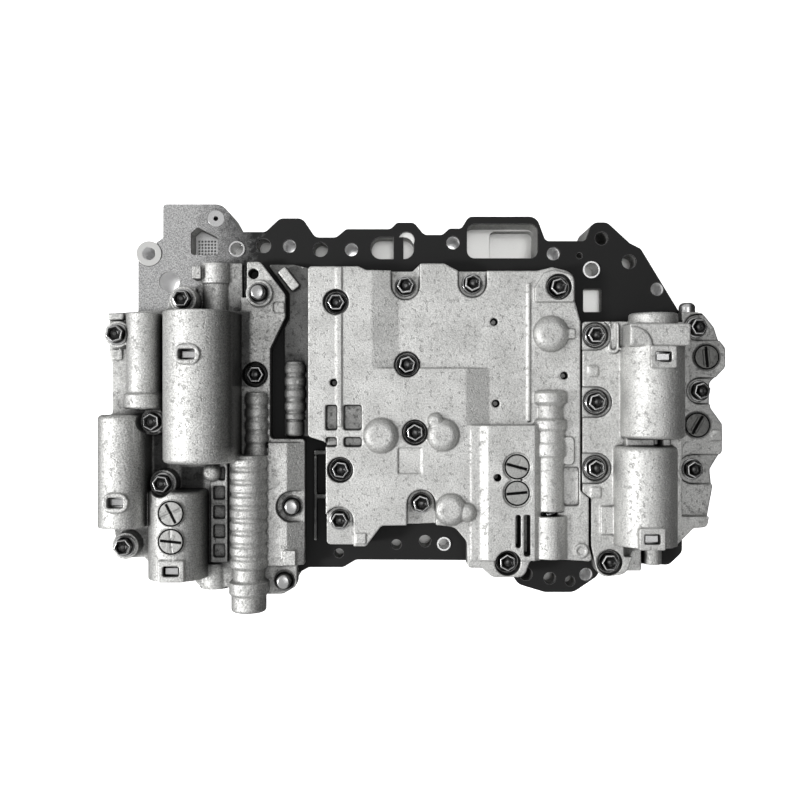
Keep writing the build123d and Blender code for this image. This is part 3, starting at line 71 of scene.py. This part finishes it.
def grain(tree, size_mm, detail=2.0, rough=0.5):
    """Noise whose blobs are about size_mm across, as a factor socket."""
    return add_node(tree, "ShaderNodeTexNoise",
                    {"Vector": own_place(tree), "Scale": 1000 / size_mm, "Detail": detail,
                     "Roughness": rough}).outputs["Fac"]


def new_surface(name):
    """A new material and its empty node tree."""
    material = bpy.data.materials.new(name)
    material.use_nodes = True
    tree = material.node_tree
    tree.nodes.clear()
    return material, tree


def finish_surface(material, tree, colour, roughness, metallic, bump, bump_mm, soft_mm=0.0):
    """Joins colour, roughness and bump into the shader; soft_mm rounds the edges in the light alone."""
    bumped = add_node(tree, "ShaderNodeBump", {"Height": bump, "Distance": bump_mm / 1000, "Strength": 1.0})
    if soft_mm:
        soft = add_node(tree, "ShaderNodeBevel", {"Radius": soft_mm / 1000}, samples=4)
        tree.links.new(soft.outputs["Normal"], bumped.inputs["Normal"])
    shader = add_node(tree, "ShaderNodeBsdfPrincipled",
                      {"Base Color": colour, "Roughness": roughness, "Metallic": metallic,
                       "Normal": bumped.outputs["Normal"]})
    add_node(tree, "ShaderNodeOutputMaterial", {"Surface": shader.outputs["BSDF"]})
    return material


def paint(node, material):
    """Gives a CAD node its material."""
    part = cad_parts[node]
    part.data.materials.clear()
    part.data.materials.append(material)


spring_wire, tree = new_surface("drawn spring wire")
finish_surface(spring_wire, tree, linear("#8d8d8f"), roughness=0.3, metallic=0.95,
               bump=grain(tree, 0.5), bump_mm=0.01)
for name in accumulators + sprung_valves:
    paint(name + "_spring", spring_wire)

# Sealing rings: filled fluoropolymer, dark brown and matt, moulded with a fine grain.
# Two sit in the grooves of each accumulator piston and ride with it.
ring_plastic, tree = new_surface("filled fluoropolymer")
finish_surface(ring_plastic, tree, linear("#3a2c22"), roughness=0.5, metallic=0.0,
               bump=grain(tree, 0.4), bump_mm=0.01)
for name in accumulators:
    paint(name + "_rings", ring_plastic)


# Pistons, spools, manual valve and end plugs: turned aluminium, anodised, with a fine tool grain.
# They slide or are keyed in the bores, so little of them shows.
def spread(tree, value, low, high, to_low=0.0, to_high=1.0):
    """Maps a factor between two levels, held at both ends."""
    return add_node(tree, "ShaderNodeMapRange",
                    {"Value": value, "From Min": low, "From Max": high,
                     "To Min": to_low, "To Max": to_high}).outputs["Result"]


def blend(tree, factor, first, second):
    """Mixes two colours, each a socket or a linear colour."""
    return add_node(tree, "ShaderNodeMix", {0: factor, 6: first, 7: second}, data_type="RGBA").outputs[2]


turned_alloy, tree = new_surface("turned aluminium, anodised")
tool_marks = grain(tree, 0.3, 2.0)
tone = blend(tree, spread(tree, tool_marks, 0.3, 0.7), linear("#c8c8c8"), linear("#9c9c9a"))
finish_surface(turned_alloy, tree, tone, roughness=0.34, metallic=0.9,
               bump=tool_marks, bump_mm=0.01, soft_mm=0.3)
for name in accumulators:
    paint(name + "_piston", turned_alloy)
    paint(name + "_plug", turned_alloy)
for name in sprung_valves:
    paint(name, turned_alloy)
    paint(name + "_plug", turned_alloy)
paint("manual_valve", turned_alloy)

# Bright steel: dowels and balls ground, keys blanked, the strainer pierced, the two plugs turned.
# They are pressed, dropped or slid into their places and share one clean metal with fine scratches.
bright_steel, tree = new_surface("ground steel")
scratches = grain(tree, 0.4, 4.0, 0.7)
tone = blend(tree, spread(tree, scratches, 0.35, 0.65), linear("#e4e4e4"), linear("#b9b9b9"))
finish_surface(bright_steel, tree, tone, roughness=0.28, metallic=0.95,
               bump=scratches, bump_mm=0.01, soft_mm=0.3)
for node, slot in (("hollow_dowels", "dowels"), ("window_keys", "keys"), ("captured_keys", "keys"),
                   ("strainer_screen", "strainer"), ("orifice_plug", "orifice"),
                   ("pressure_plug", "pressure_plug"), ("check_balls", "balls")):
    paint(node, bright_steel)

# Lower casting: die-cast aluminium, dull and sandy, with the faces that look straight up or down
# machined bright. Its bolt, boss and drain holes go right through; their walls are painted near white
# as painted light from the glowing floor, and its corners and recesses carry painted shade.
drain_hole = (-135.0, 67.7, 5.7)
boss_hole = (-146.2, 83.2, 3.5)
case_bolt_radius = 4.0
case_bolt_places = [(-68.8, 87.4), (-34.6, 85.5), (21.4, 89.3), (76.8, 83.2), (134.1, 63.7), (94.8, -93.8)]


def calc(tree, operation, *values):
    """One maths node on one or two values, each a socket or a number."""
    return add_node(tree, "ShaderNodeMath", dict(enumerate(values)), operation=operation).outputs["Value"]


def axes(tree, vector):
    """The X, Y and Z sockets of a vector."""
    return add_node(tree, "ShaderNodeSeparateXYZ", {0: vector}).outputs


def openness(tree, distance_mm):
    """1 in the open, falling to 0 where other surfaces within distance_mm close in."""
    return add_node(tree, "ShaderNodeAmbientOcclusion", {"Distance": distance_mm / 1000},
                    samples=6).outputs["AO"]


def seen_from(tree, x, y, turn=0.0):
    """The place about a spot of the plan (mm and degrees, height left out), and its distance from it."""
    local = add_node(tree, "ShaderNodeMapping",
                     {"Vector": own_place(tree), "Location": (x / 1000, y / 1000, 0),
                      "Rotation": (0, 0, radians(turn)), "Scale": (1, 1, 1e6)},
                     vector_type="TEXTURE").outputs["Vector"]
    return local, add_node(tree, "ShaderNodeVectorMath", {0: local}, operation="LENGTH").outputs["Value"]


def within(tree, distance, limit_mm, fade_mm):
    """1 up to a distance, fading to 0 just past it."""
    return spread(tree, distance, limit_mm / 1000, (limit_mm + fade_mm) / 1000, 1.0, 0.0)


lower_metal, tree = new_surface("die-cast aluminium, machined faces")
facing = axes(tree, add_node(tree, "ShaderNodeNewGeometry").outputs["True Normal"])["Z"]
machined = spread(tree, calc(tree, "ABSOLUTE", facing), 0.97, 0.99)
sand = grain(tree, 0.8, 3.0, 0.65)
tone = blend(tree, spread(tree, sand, 0.35, 0.7), linear("#b4b4b2"), linear("#747472"))
tone = blend(tree, machined, tone, linear("#d8d8d6"))
# Painted shade: darker where other surfaces close in, in corners and recesses.
tone = blend(tree, spread(tree, openness(tree, 12), 0.5, 0.0, 0.0, 0.45), tone, linear("#262625"))
# Painted light: the walls of the through holes are painted near white and matt, as if lit from the floor
# below.
painted_bore_light = 0.0
for x, y, radius in [drain_hole, boss_hole] + [(x, y, case_bolt_radius) for x, y in case_bolt_places]:
    painted_bore_light = calc(tree, "MAXIMUM", within(tree, seen_from(tree, x, y)[1], radius + 0.1, 0.1), painted_bore_light)
tone = blend(tree, painted_bore_light, tone, linear("#fafafa"))
finish_surface(lower_metal, tree, tone, roughness=spread(tree, machined, 0.0, 1.0, 0.55, 0.3),
               metallic=spread(tree, painted_bore_light, 0.0, 1.0, 0.55, 0.0), bump=sand, bump_mm=0.06, soft_mm=0.5)
paint("lower_body", lower_metal)

# Separator plate: sheet steel under a black baked coating, stamped flat, its cut edges painted light as a
# painted highlight.
# At the left end, past the castings, the coating is painted a speckled grey with a ragged border: a painted
# reflection of the soft box.
sheen_start = -88.0
sheen_full = -122.0
ragged = 8.0
edge_mm = 0.35
plate_coat, tree = new_surface("black coated steel sheet")
# Painted reflection: the black coat turns speckled grey towards the left end.
wander = spread(tree, grain(tree, 5.0, 4.0, 0.7), 0.3, 0.7, -ragged / 1000, ragged / 1000)
reach = calc(tree, "ADD", axes(tree, own_place(tree))["X"], wander)
sheen = spread(tree, reach, sheen_start / 1000, sheen_full / 1000)
speckle = spread(tree, grain(tree, 0.7, 3.0, 0.7), 0.40, 0.60)
tone = blend(tree, sheen, linear("#070707"), blend(tree, speckle, linear("#cacaca"), linear("#828282")))
rounded = add_node(tree, "ShaderNodeBevel", {"Radius": edge_mm / 1000}, samples=6).outputs["Normal"]
flat = add_node(tree, "ShaderNodeNewGeometry").outputs["Normal"]
alike = add_node(tree, "ShaderNodeVectorMath", {0: rounded, 1: flat},
                 operation="DOT_PRODUCT").outputs["Value"]
# Painted highlight: light along the cut edges, where the rounded normal parts from the flat one.
tone = blend(tree, spread(tree, alike, 0.995, 0.93, 0.0, 0.4), tone, linear("#c9c9c9"))
finish_surface(plate_coat, tree, tone, roughness=0.75, metallic=0.0,
               bump=grain(tree, 0.5), bump_mm=0.01, soft_mm=0.3)
paint("separator_plate", plate_coat)

# Upper castings: three pressure die castings of aluminium, blasted grey and sandy, bolted down through
# the plate. Painted shade darkens their recesses and creases, and their edges are painted bright as
# rubbed metal and painted highlight. The frame's shapes are softened as a die leaves them.
skin = linear("#e6e6e4")
stain = linear("#7c7c7a")
# The dark of painted shadow and of painted shade in valleys.
shadow_dark = linear("#1c1c1c")

# The date dials: the flat face, then a groove round it, and a slot across it, in mm.
dial_face = 5.8
dial_groove = 6.4
groove_half = 0.3
slot_reach = 5.5
slot_half = 0.6


def dial_marks(tree, dials):
    """Two masks of the date dials, from (x, y, turn) of each: their faces, and their grooves and slots for
    painted shade.
    """
    faces, shaded_marks = 0.0, 0.0
    for x, y, turn in dials:
        local, reach = seen_from(tree, x, y, turn)
        aside = calc(tree, "ABSOLUTE", axes(tree, local)["Y"])
        off_groove = calc(tree, "ABSOLUTE", calc(tree, "SUBTRACT", reach, dial_groove / 1000))
        groove = within(tree, off_groove, groove_half, 0.3)
        slot = calc(tree, "MULTIPLY", within(tree, aside, slot_half, 0.3),
                    within(tree, reach, slot_reach, 0.3))
        shaded_marks = calc(tree, "MAXIMUM", calc(tree, "MAXIMUM", groove, slot), shaded_marks)
        faces = calc(tree, "MAXIMUM", within(tree, reach, dial_face, 0.2), faces)
    return faces, shaded_marks


def shadow_patches(tree, patches):
    """How much painted shadow lies on the skin, from (low x, high x, low y, high y, half width of the edge,
    amount), in mm.
    """
    along = axes(tree, own_place(tree))
    shadow = 0.0
    for low_x, high_x, low_y, high_y, edge, amount in patches:
        cover = amount
        for axis, level, before, after in (("X", low_x, 0.0, 1.0), ("X", high_x, 1.0, 0.0),
                                           ("Y", low_y, 0.0, 1.0), ("Y", high_y, 1.0, 0.0)):
            side = spread(tree, along[axis], (level - edge) / 1000, (level + edge) / 1000, before, after)
            cover = calc(tree, "MULTIPLY", side, cover)
        shadow = calc(tree, "MAXIMUM", cover, shadow)
    return shadow


def die_cast(name, dark_below_mm, patches, dials, dial_tone="#d2d2d0", floor_spare=0.0, speck=0.5):
    """Sandy cast skin; the darkening low down fades out between two heights, a share keeps painted shade
    off upward faces, and speck is how strongly the sand shows."""
    material, tree = new_surface(name)
    geometry = add_node(tree, "ShaderNodeNewGeometry").outputs

    mottle = spread(tree, grain(tree, 14.0, 3.0), 0.35, 0.65)
    sand = grain(tree, 0.8, 2.0, 0.6)
    pits = spread(tree, grain(tree, 2.6, 4.0, 0.7), 0.56, 0.68)
    body = blend(tree, mottle, skin, blend(tree, 0.15, skin, stain))
    body = blend(tree, spread(tree, sand, 0.38, 0.62, 0.0, speck), body, stain)
    body = blend(tree, spread(tree, pits, 0.0, 1.0, 0.0, 0.3), body, stain)

    height = axes(tree, own_place(tree))["Z"]
    # Darker low down, fading out between the two heights.
    low_dark = spread(tree, height, dark_below_mm[0] / 1000, dark_below_mm[1] / 1000, 0.8, 0.0)
    body = blend(tree, low_dark, body, linear("#2a2a2a"))
    # Painted shadow: dark patches where the barrels shade the skin.
    body = blend(tree, shadow_patches(tree, patches), body, shadow_dark)

    # Painted highlight on convex edges, with some rubbing, and painted shade in creases.
    bend = geometry["Pointiness"]
    body = blend(tree, spread(tree, bend, 0.52, 0.60, 0.0, 0.6), body, linear("#f6f6f4"))
    body = blend(tree, spread(tree, bend, 0.485, 0.40, 0.0, 0.85), body, linear("#161616"))

    # Painted shade: valleys and tight corners painted dark, less so on upward faces by the given share.
    shade_weight = spread(tree, axes(tree, geometry["Normal"])["Z"], 0.96, 0.99, 1.0, 1.0 - floor_spare)
    valley = spread(tree, openness(tree, 30), 0.75, 0.30, 0.0, 0.7)
    corner = spread(tree, openness(tree, 5), 0.6, 0.1, 0.0, 0.9)
    body = blend(tree, calc(tree, "MULTIPLY", valley, shade_weight), body, shadow_dark)
    body = blend(tree, calc(tree, "MULTIPLY", corner, shade_weight), body, linear("#121212"))

    faces, shaded_marks = dial_marks(tree, dials)
    body = blend(tree, faces, body, blend(tree, sand, linear("#8c8c8a"), linear(dial_tone)))
    # Painted shade: the dials' grooves and slots painted near black.
    body = blend(tree, shaded_marks, body, linear("#0e0e0e"))
    return finish_surface(material, tree, body, roughness=spread(tree, mottle, 0.0, 1.0, 0.52, 0.62),
                          metallic=0.9, bump=calc(tree, "SUBTRACT", sand, pits), bump_mm=0.18)


def settle(piece):
    """Turns a piece's modifiers into its mesh."""
    graph = bpy.context.evaluated_depsgraph_get()
    mesh = bpy.data.meshes.new_from_object(piece.evaluated_get(graph))
    piece.modifiers.clear()
    piece.data = mesh


def soft_casting(node, material, keep):
    """A softened copy of one casting stands in for its CAD node; keep is the share of triangles left."""
    voxel_mm = 0.45
    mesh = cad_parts[node].data.copy()
    piece = bpy.data.objects.new(node + "_cast", mesh)
    scene.collection.objects.link(piece)
    work = bmesh.new()
    work.from_mesh(mesh)
    bmesh.ops.remove_doubles(work, verts=work.verts, dist=1e-6)
    work.to_mesh(mesh)
    work.free()
    remesh = piece.modifiers.new("skin", "REMESH")
    remesh.mode = "VOXEL"
    remesh.voxel_size = voxel_mm / 1000
    soften = piece.modifiers.new("soften", "SMOOTH")
    soften.factor = 0.5
    soften.iterations = 2
    thin = piece.modifiers.new("thin", "DECIMATE")
    thin.ratio = keep
    settle(piece)
    piece.data.materials.clear()
    piece.data.materials.append(material)
    piece.data.shade_smooth()
    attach(piece, "housing")
    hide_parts(node)


# Left casting: the darkest, with the long, slim, corner and dial barrels and the ribbed column, and painted
# shadow on its barrel flanks, pockets and valleys.
# Painted shadow: the right flanks of the long and dial barrels and the pockets and valleys beside them.
long_flank = (-99.5, -92.5, -25.0, 55.0, 3.5, 0.85)
long_pocket = (-96.0, -88.5, 9.0, 51.0, 1.0, 0.85)
corner_valley = (-141.5, -133.0, -45.0, -5.0, 1.0, 0.85)
dial_flank = (-114.0, -107.0, -89.0, -46.0, 3.0, 0.7)
dial_back = (-126.5, -113.5, -46.0, -33.0, 1.0, 0.85)
ladder = (-111.0, -101.0, -88.0, -44.0, 1.0, 0.55)
left_metal = die_cast("die-cast aluminium, blasted, left", (38.0, 43.0),
                      [long_flank, long_pocket, corner_valley, dial_back, ladder, dial_flank],
                      [(-127.0, -56.6, 117), (-127.0, -71.2, -6)])
soft_casting("left_upper_body", left_metal, 0.27)

# Centre casting: a deck with bolt pits and domes whose upward faces carry little painted shade, with
# painted shadow only along its left side.
left_ribs = (-73.0, -60.0, -18.0, 28.0, 1.0, 0.45)
left_margin = (-56.0, -48.8, -75.0, -20.0, 1.0, 0.6)
centre_metal = die_cast("die-cast aluminium, blasted, centre", (42.5, 46.0), [left_ribs, left_margin],
                        [(54.6, -33.1, -15), (54.6, -47.2, 5)], floor_spare=0.85, speck=0.36)
soft_casting("centre_upper_body", centre_metal, 0.28)

# Right casting: the front and rear barrels, and dials along its outer edge with faces painted darker as
# painted shade, and a little painted shadow along that edge.
# Painted shadow along the outer edge, beyond the barrels.
outer_edge = (143.8, 170.0, -60.0, 60.0, 2.0, 0.25)
# The right dial faces are painted dark, as painted shade.
right_metal = die_cast("die-cast aluminium, blasted, right", (38.0, 42.0), [outer_edge],
                       [(157.5, 25.7, 95), (152.6, -11.0, 60)], "#6a6a68", floor_spare=0.85, speck=0.36)
soft_casting("right_upper_body", right_metal, 0.36)

# Flange bolts: cold-headed steel with a dark phosphate coat, the rims and hexagon corners painted bright,
# partly rubbed metal and partly painted highlight.
# Most have an indented hexagon, one group a round top. Each kind is turned once from rings and stands
# on every bolt of the frame through a small node tree.
across_flats = 8.0
corner_radius = 4.5
corner_depth = 3.0
flange_radius = 5.8
shank_radius = 3.0
shank_end = -24.0
head_height = 6.4

# A ring is (hexagon share, round radius, inset of the hexagon, height, how bright it is painted as rubbing
# and highlight), in mm.
hex_rings = [
    (0.0, shank_radius, 0, shank_end, 0.0), (0.0, shank_radius, 0, 0.0, 0.0),
    (0.0, flange_radius - 0.1, 0, 0.0, 0.4), (0.0, flange_radius, 0, 0.3, 1.0),
    (0.0, flange_radius - 0.1, 0, 0.7, 1.0), (0.0, flange_radius - 0.4, 0, 0.95, 1.0),
    (0.0, flange_radius - 0.8, 0, 1.1, 0.4), (0.4, 4.7, 0, 1.4, 0.0), (1.0, 4.5, 0, 2.1, 0.0),
    (1.0, 4.5, 0, 5.7, 0.2), (1.0, 4.5, -0.08, 6.1, 1.0), (1.0, 4.5, -0.3, 6.3, 1.0),
    (1.0, 4.5, -0.55, 6.34, 0.5), (1.0, 3.3, -0.85, 6.34, 0.0), (0.0, 3.0, 0, 6.32, 0.0),
    (0.0, 2.85, 0, 6.2, 0.2), (0.0, 2.7, 0, 5.6, 0.0), (0.0, 2.4, 0, 5.1, 0.0),
    (0.0, 1.1, 0, 5.0, 0.0), (0.0, 0.7, 0, 5.1, 0.1), (0.0, 0.2, 0, 5.1, 0.1),
]
round_rings = [
    (0.0, shank_radius, 0, shank_end, 0.0), (0.0, shank_radius, 0, 0.0, 0.0),
    (0.0, flange_radius - 0.1, 0, 0.0, 0.2), (0.0, flange_radius, 0, 0.3, 1.0),
    (0.0, flange_radius - 0.1, 0, 0.7, 1.0), (0.0, flange_radius - 0.5, 0, 1.0, 0.6),
    (0.0, 4.6, 0, 1.5, 0.0), (0.0, 4.0, 0, 2.2, 0.0), (0.0, 4.0, 0, 4.9, 0.1),
    (0.0, 3.8, 0, 5.7, 0.5), (0.0, 3.2, 0, 6.2, 0.7), (0.0, 2.5, 0, 6.4, 0.6), (0.0, 0.2, 0, 6.4, 0.6),
]


def ring_head(name, rings):
    """A bolt head lofted through its rings, with how bright each ring is painted, rubbing and highlight, as
    a point attribute.
    """
    sides = 72
    points, faces, sheens = [], [], []
    for share, radius, inset, height, sheen in rings:
        for side in range(sides):
            angle = 2 * pi * side / sides
            off_flat = (angle + pi / 6) % (pi / 3) - pi / 6
            hexagon = min(across_flats / 2 / cos(off_flat), corner_radius) + inset
            reach = (share * hexagon + (1 - share) * radius) / 1000
            points.append((reach * cos(angle), reach * sin(angle), height / 1000))
            sheens.append(sheen)
    for ring in range(len(rings) - 1):
        for side in range(sides):
            after = (side + 1) % sides
            faces.append((ring * sides + side, ring * sides + after,
                          (ring + 1) * sides + after, (ring + 1) * sides + side))
    faces.append(tuple(reversed(range(sides))))
    faces.append(tuple((len(rings) - 1) * sides + side for side in range(sides)))
    mesh = bpy.data.meshes.new(name)
    mesh.from_pydata(points, [], faces)
    mesh.attributes.new("rub_and_sheen", "FLOAT", "POINT").data.foreach_set("value", sheens)
    mesh.shade_smooth()
    head = bpy.data.objects.new(name, mesh)
    scene.collection.objects.link(head)
    return head


def bolt_spots(node):
    """The seat of each bolt of a frame node and the turn of its hexagon."""
    work = bmesh.new()
    work.from_mesh(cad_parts[node].data)
    bmesh.ops.remove_doubles(work, verts=work.verts, dist=1e-6)
    unseen = set(work.verts)
    spots = []
    while unseen:
        group = {unseen.pop()}
        front = list(group)
        while front:
            vertex = front.pop()
            for edge in vertex.link_edges:
                other = edge.other_vert(vertex)
                if other not in group:
                    group.add(other)
                    front.append(other)
        unseen -= group
        places = [vertex.co.copy() for vertex in group]
        middle_x = (min(p.x for p in places) + max(p.x for p in places)) / 2
        middle_y = (min(p.y for p in places) + max(p.y for p in places)) / 2
        top = max(p.z for p in places)
        hexagon = [p - Vector((middle_x, middle_y, 0)) for p in places if p.z > top - corner_depth / 1000]
        corner = max(hexagon, key=lambda p: p.xy.length)
        spots.append((middle_x, middle_y, top - head_height / 1000, atan2(corner.y, corner.x) - pi / 6))
    work.free()
    return sorted(spots)


def head_tree():
    """Stands a head on each point, turned by the point's own turn."""
    tree = bpy.data.node_groups.new("stand heads", "GeometryNodeTree")
    for label, kind in (("Geometry", "NodeSocketGeometry"), ("Head", "NodeSocketObject"),
                        ("Finish", "NodeSocketMaterial")):
        tree.interface.new_socket(label, in_out="INPUT", socket_type=kind)
    tree.interface.new_socket("Geometry", in_out="OUTPUT", socket_type="NodeSocketGeometry")
    given = add_node(tree, "NodeGroupInput").outputs
    head = add_node(tree, "GeometryNodeObjectInfo", {"Object": given["Head"]})
    turn = add_node(tree, "GeometryNodeInputNamedAttribute", {"Name": "turn"}, data_type="FLOAT")
    spin = add_node(tree, "ShaderNodeCombineXYZ", {"Z": turn.outputs["Attribute"]})
    stand = add_node(tree, "GeometryNodeInstanceOnPoints",
                     {"Points": given["Geometry"], "Instance": head.outputs["Geometry"],
                      "Rotation": spin.outputs["Vector"]})
    real = add_node(tree, "GeometryNodeRealizeInstances", {"Geometry": stand.outputs["Instances"]})
    finish = add_node(tree, "GeometryNodeSetMaterial",
                      {"Geometry": real.outputs["Geometry"], "Material": given["Finish"]})
    add_node(tree, "NodeGroupOutput", {"Geometry": finish.outputs["Geometry"]})
    return tree


bolt_steel, tree = new_surface("phosphated steel, rubbed rims")
# Painted highlight with rubbing: the rims and hexagon corners painted bright.
rub_and_sheen = add_node(tree, "ShaderNodeAttribute", attribute_name="rub_and_sheen").outputs["Fac"]
blotches = grain(tree, 1.4, 3.0)
tone = blend(tree, spread(tree, blotches, 0.4, 0.65), linear("#1c1c1c"), linear("#3a3a3a"))
tone = blend(tree, rub_and_sheen, tone, linear("#e2e2e2"))
finish_surface(bolt_steel, tree, tone, roughness=spread(tree, rub_and_sheen, 0.0, 1.0, 0.30, 0.24), metallic=0.95,
               bump=blotches, bump_mm=0.02)

stand_heads = head_tree()
hex_head = ring_head("hex_head", hex_rings)
round_head = ring_head("round_head", round_rings)
for node, head in (("left_bolts", hex_head), ("round_top_bolts", round_head),
                   ("centre_bolts", hex_head), ("right_bolts", hex_head)):
    spots = bolt_spots(node)
    mesh = bpy.data.meshes.new(node + "_points")
    mesh.from_pydata([spot[:3] for spot in spots], [], [])
    mesh.attributes.new("turn", "FLOAT", "POINT").data.foreach_set("value", [spot[3] for spot in spots])
    piece = bpy.data.objects.new(node + "_heads", mesh)
    scene.collection.objects.link(piece)
    standing = piece.modifiers.new("heads", "NODES")
    standing.node_group = stand_heads
    wanted = {"Head": head, "Finish": bolt_steel}
    for socket in stand_heads.interface.items_tree:
        if socket.in_out == "INPUT" and socket.name in wanted:
            standing[socket.identifier] = wanted[socket.name]
    settle(piece)
    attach(piece, "housing")
    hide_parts(node)
for head in (hex_head, round_head):
    bpy.data.objects.remove(head)

# Floor: a wide sheet of white card that glows, so it runs white out of the picture and shows in the
# open holes. Metal doesn't mirror it, which keeps the right flanks of the barrels dark as in the photo.
floor_half = 3.0
floor_level = -0.0004
floor_card, tree = new_surface("white card")
card = add_node(tree, "ShaderNodeBsdfPrincipled",
                {"Base Color": linear("#fbfbfb"), "Roughness": 0.9, "Emission Color": linear("#ffffff"),
                 "Emission Strength": 1.0})
add_node(tree, "ShaderNodeOutputMaterial", {"Surface": card.outputs["BSDF"]})
floor_mesh = bpy.data.meshes.new("floor")
corners = [(x * floor_half, y * floor_half, floor_level) for x, y in ((-1, -1), (1, -1), (1, 1), (-1, 1))]
floor_mesh.from_pydata(corners, [], [(0, 1, 2, 3)])
floor_mesh.materials.append(floor_card)
floor = bpy.data.objects.new("floor", floor_mesh)
scene.collection.objects.link(floor)
floor.visible_glossy = False

# Backdrop: a wide white dome round the part. It takes no part in the light and only makes the
# ground white in views from the side.
dome_radius = 2.9
backdrop_paint, tree = new_surface("white backdrop")
shine = add_node(tree, "ShaderNodeEmission", {"Color": linear("#f2f2f2"), "Strength": 1.0})
add_node(tree, "ShaderNodeOutputMaterial", {"Surface": shine.outputs["Emission"]})
dome_mesh = bpy.data.meshes.new("backdrop")
dome = bmesh.new()
bmesh.ops.create_uvsphere(dome, u_segments=48, v_segments=24, radius=dome_radius)
dome.to_mesh(dome_mesh)
dome.free()
dome_mesh.materials.append(backdrop_paint)
backdrop = bpy.data.objects.new("backdrop", dome_mesh)
scene.collection.objects.link(backdrop)
backdrop.visible_diffuse = False
backdrop.visible_glossy = False
backdrop.visible_shadow = False

# Light: a soft box far to the left and a weak one overhead, in a room with a white ceiling and a
# light left wall that goes dark to the right. The dark side shades the right flank of every barrel.
ceiling = 0.62
right_wall = 0.01
left_wall = 0.20
below = 0.06
world = bpy.data.worlds.new("studio")
scene.world = world
world.use_nodes = True
tree = world.node_tree
tree.nodes.clear()
side = axes(tree, add_node(tree, "ShaderNodeTexCoord").outputs["Generated"])
overhead = spread(tree, side["X"], 0.22, 0.60, ceiling, right_wall)
window = spread(tree, side["X"], -0.85, -0.55, left_wall, 0.0)
rise = spread(tree, side["Z"], -0.15, 0.10, below, 1.0)
glow = calc(tree, "MULTIPLY", calc(tree, "ADD", overhead, window), rise)
sky = add_node(tree, "ShaderNodeBackground", {"Color": (1, 1, 1, 1), "Strength": glow})
add_node(tree, "ShaderNodeOutputWorld", {"Surface": sky.outputs["Background"]})
for name, place, aim, width, watts in (("left_box", (-1.50, -0.25, 1.20), (0, 0, 0.04), 0.30, 21),
                                       ("top_box", (0.15, 0.05, 1.6), (0, 0, 0), 0.60, 3)):
    lamp = bpy.data.lights.new(name, "AREA")
    lamp.shape = "RECTANGLE"
    lamp.size = width
    lamp.size_y = width
    lamp.energy = watts
    holder = bpy.data.objects.new(name, lamp)
    holder.location = place
    holder.rotation_euler = (Vector(aim) - Vector(place)).to_track_quat("-Z", "Y").to_euler()
    scene.collection.objects.link(holder)

# Camera: straight above the middle of the part, as far up as the photo's perspective says, with the
# lens that makes a pixel 0.526 mm at the height of the bolt heads.
camera = bpy.data.cameras.new("camera")
camera.sensor_width = 36.0
camera.lens = 42.78
eye = bpy.data.objects.new("camera", camera)
eye.location = (-0.0078, 0.0025, 0.560)
scene.collection.objects.link(eye)
scene.camera = eye
scene.view_settings.view_transform = "Standard"
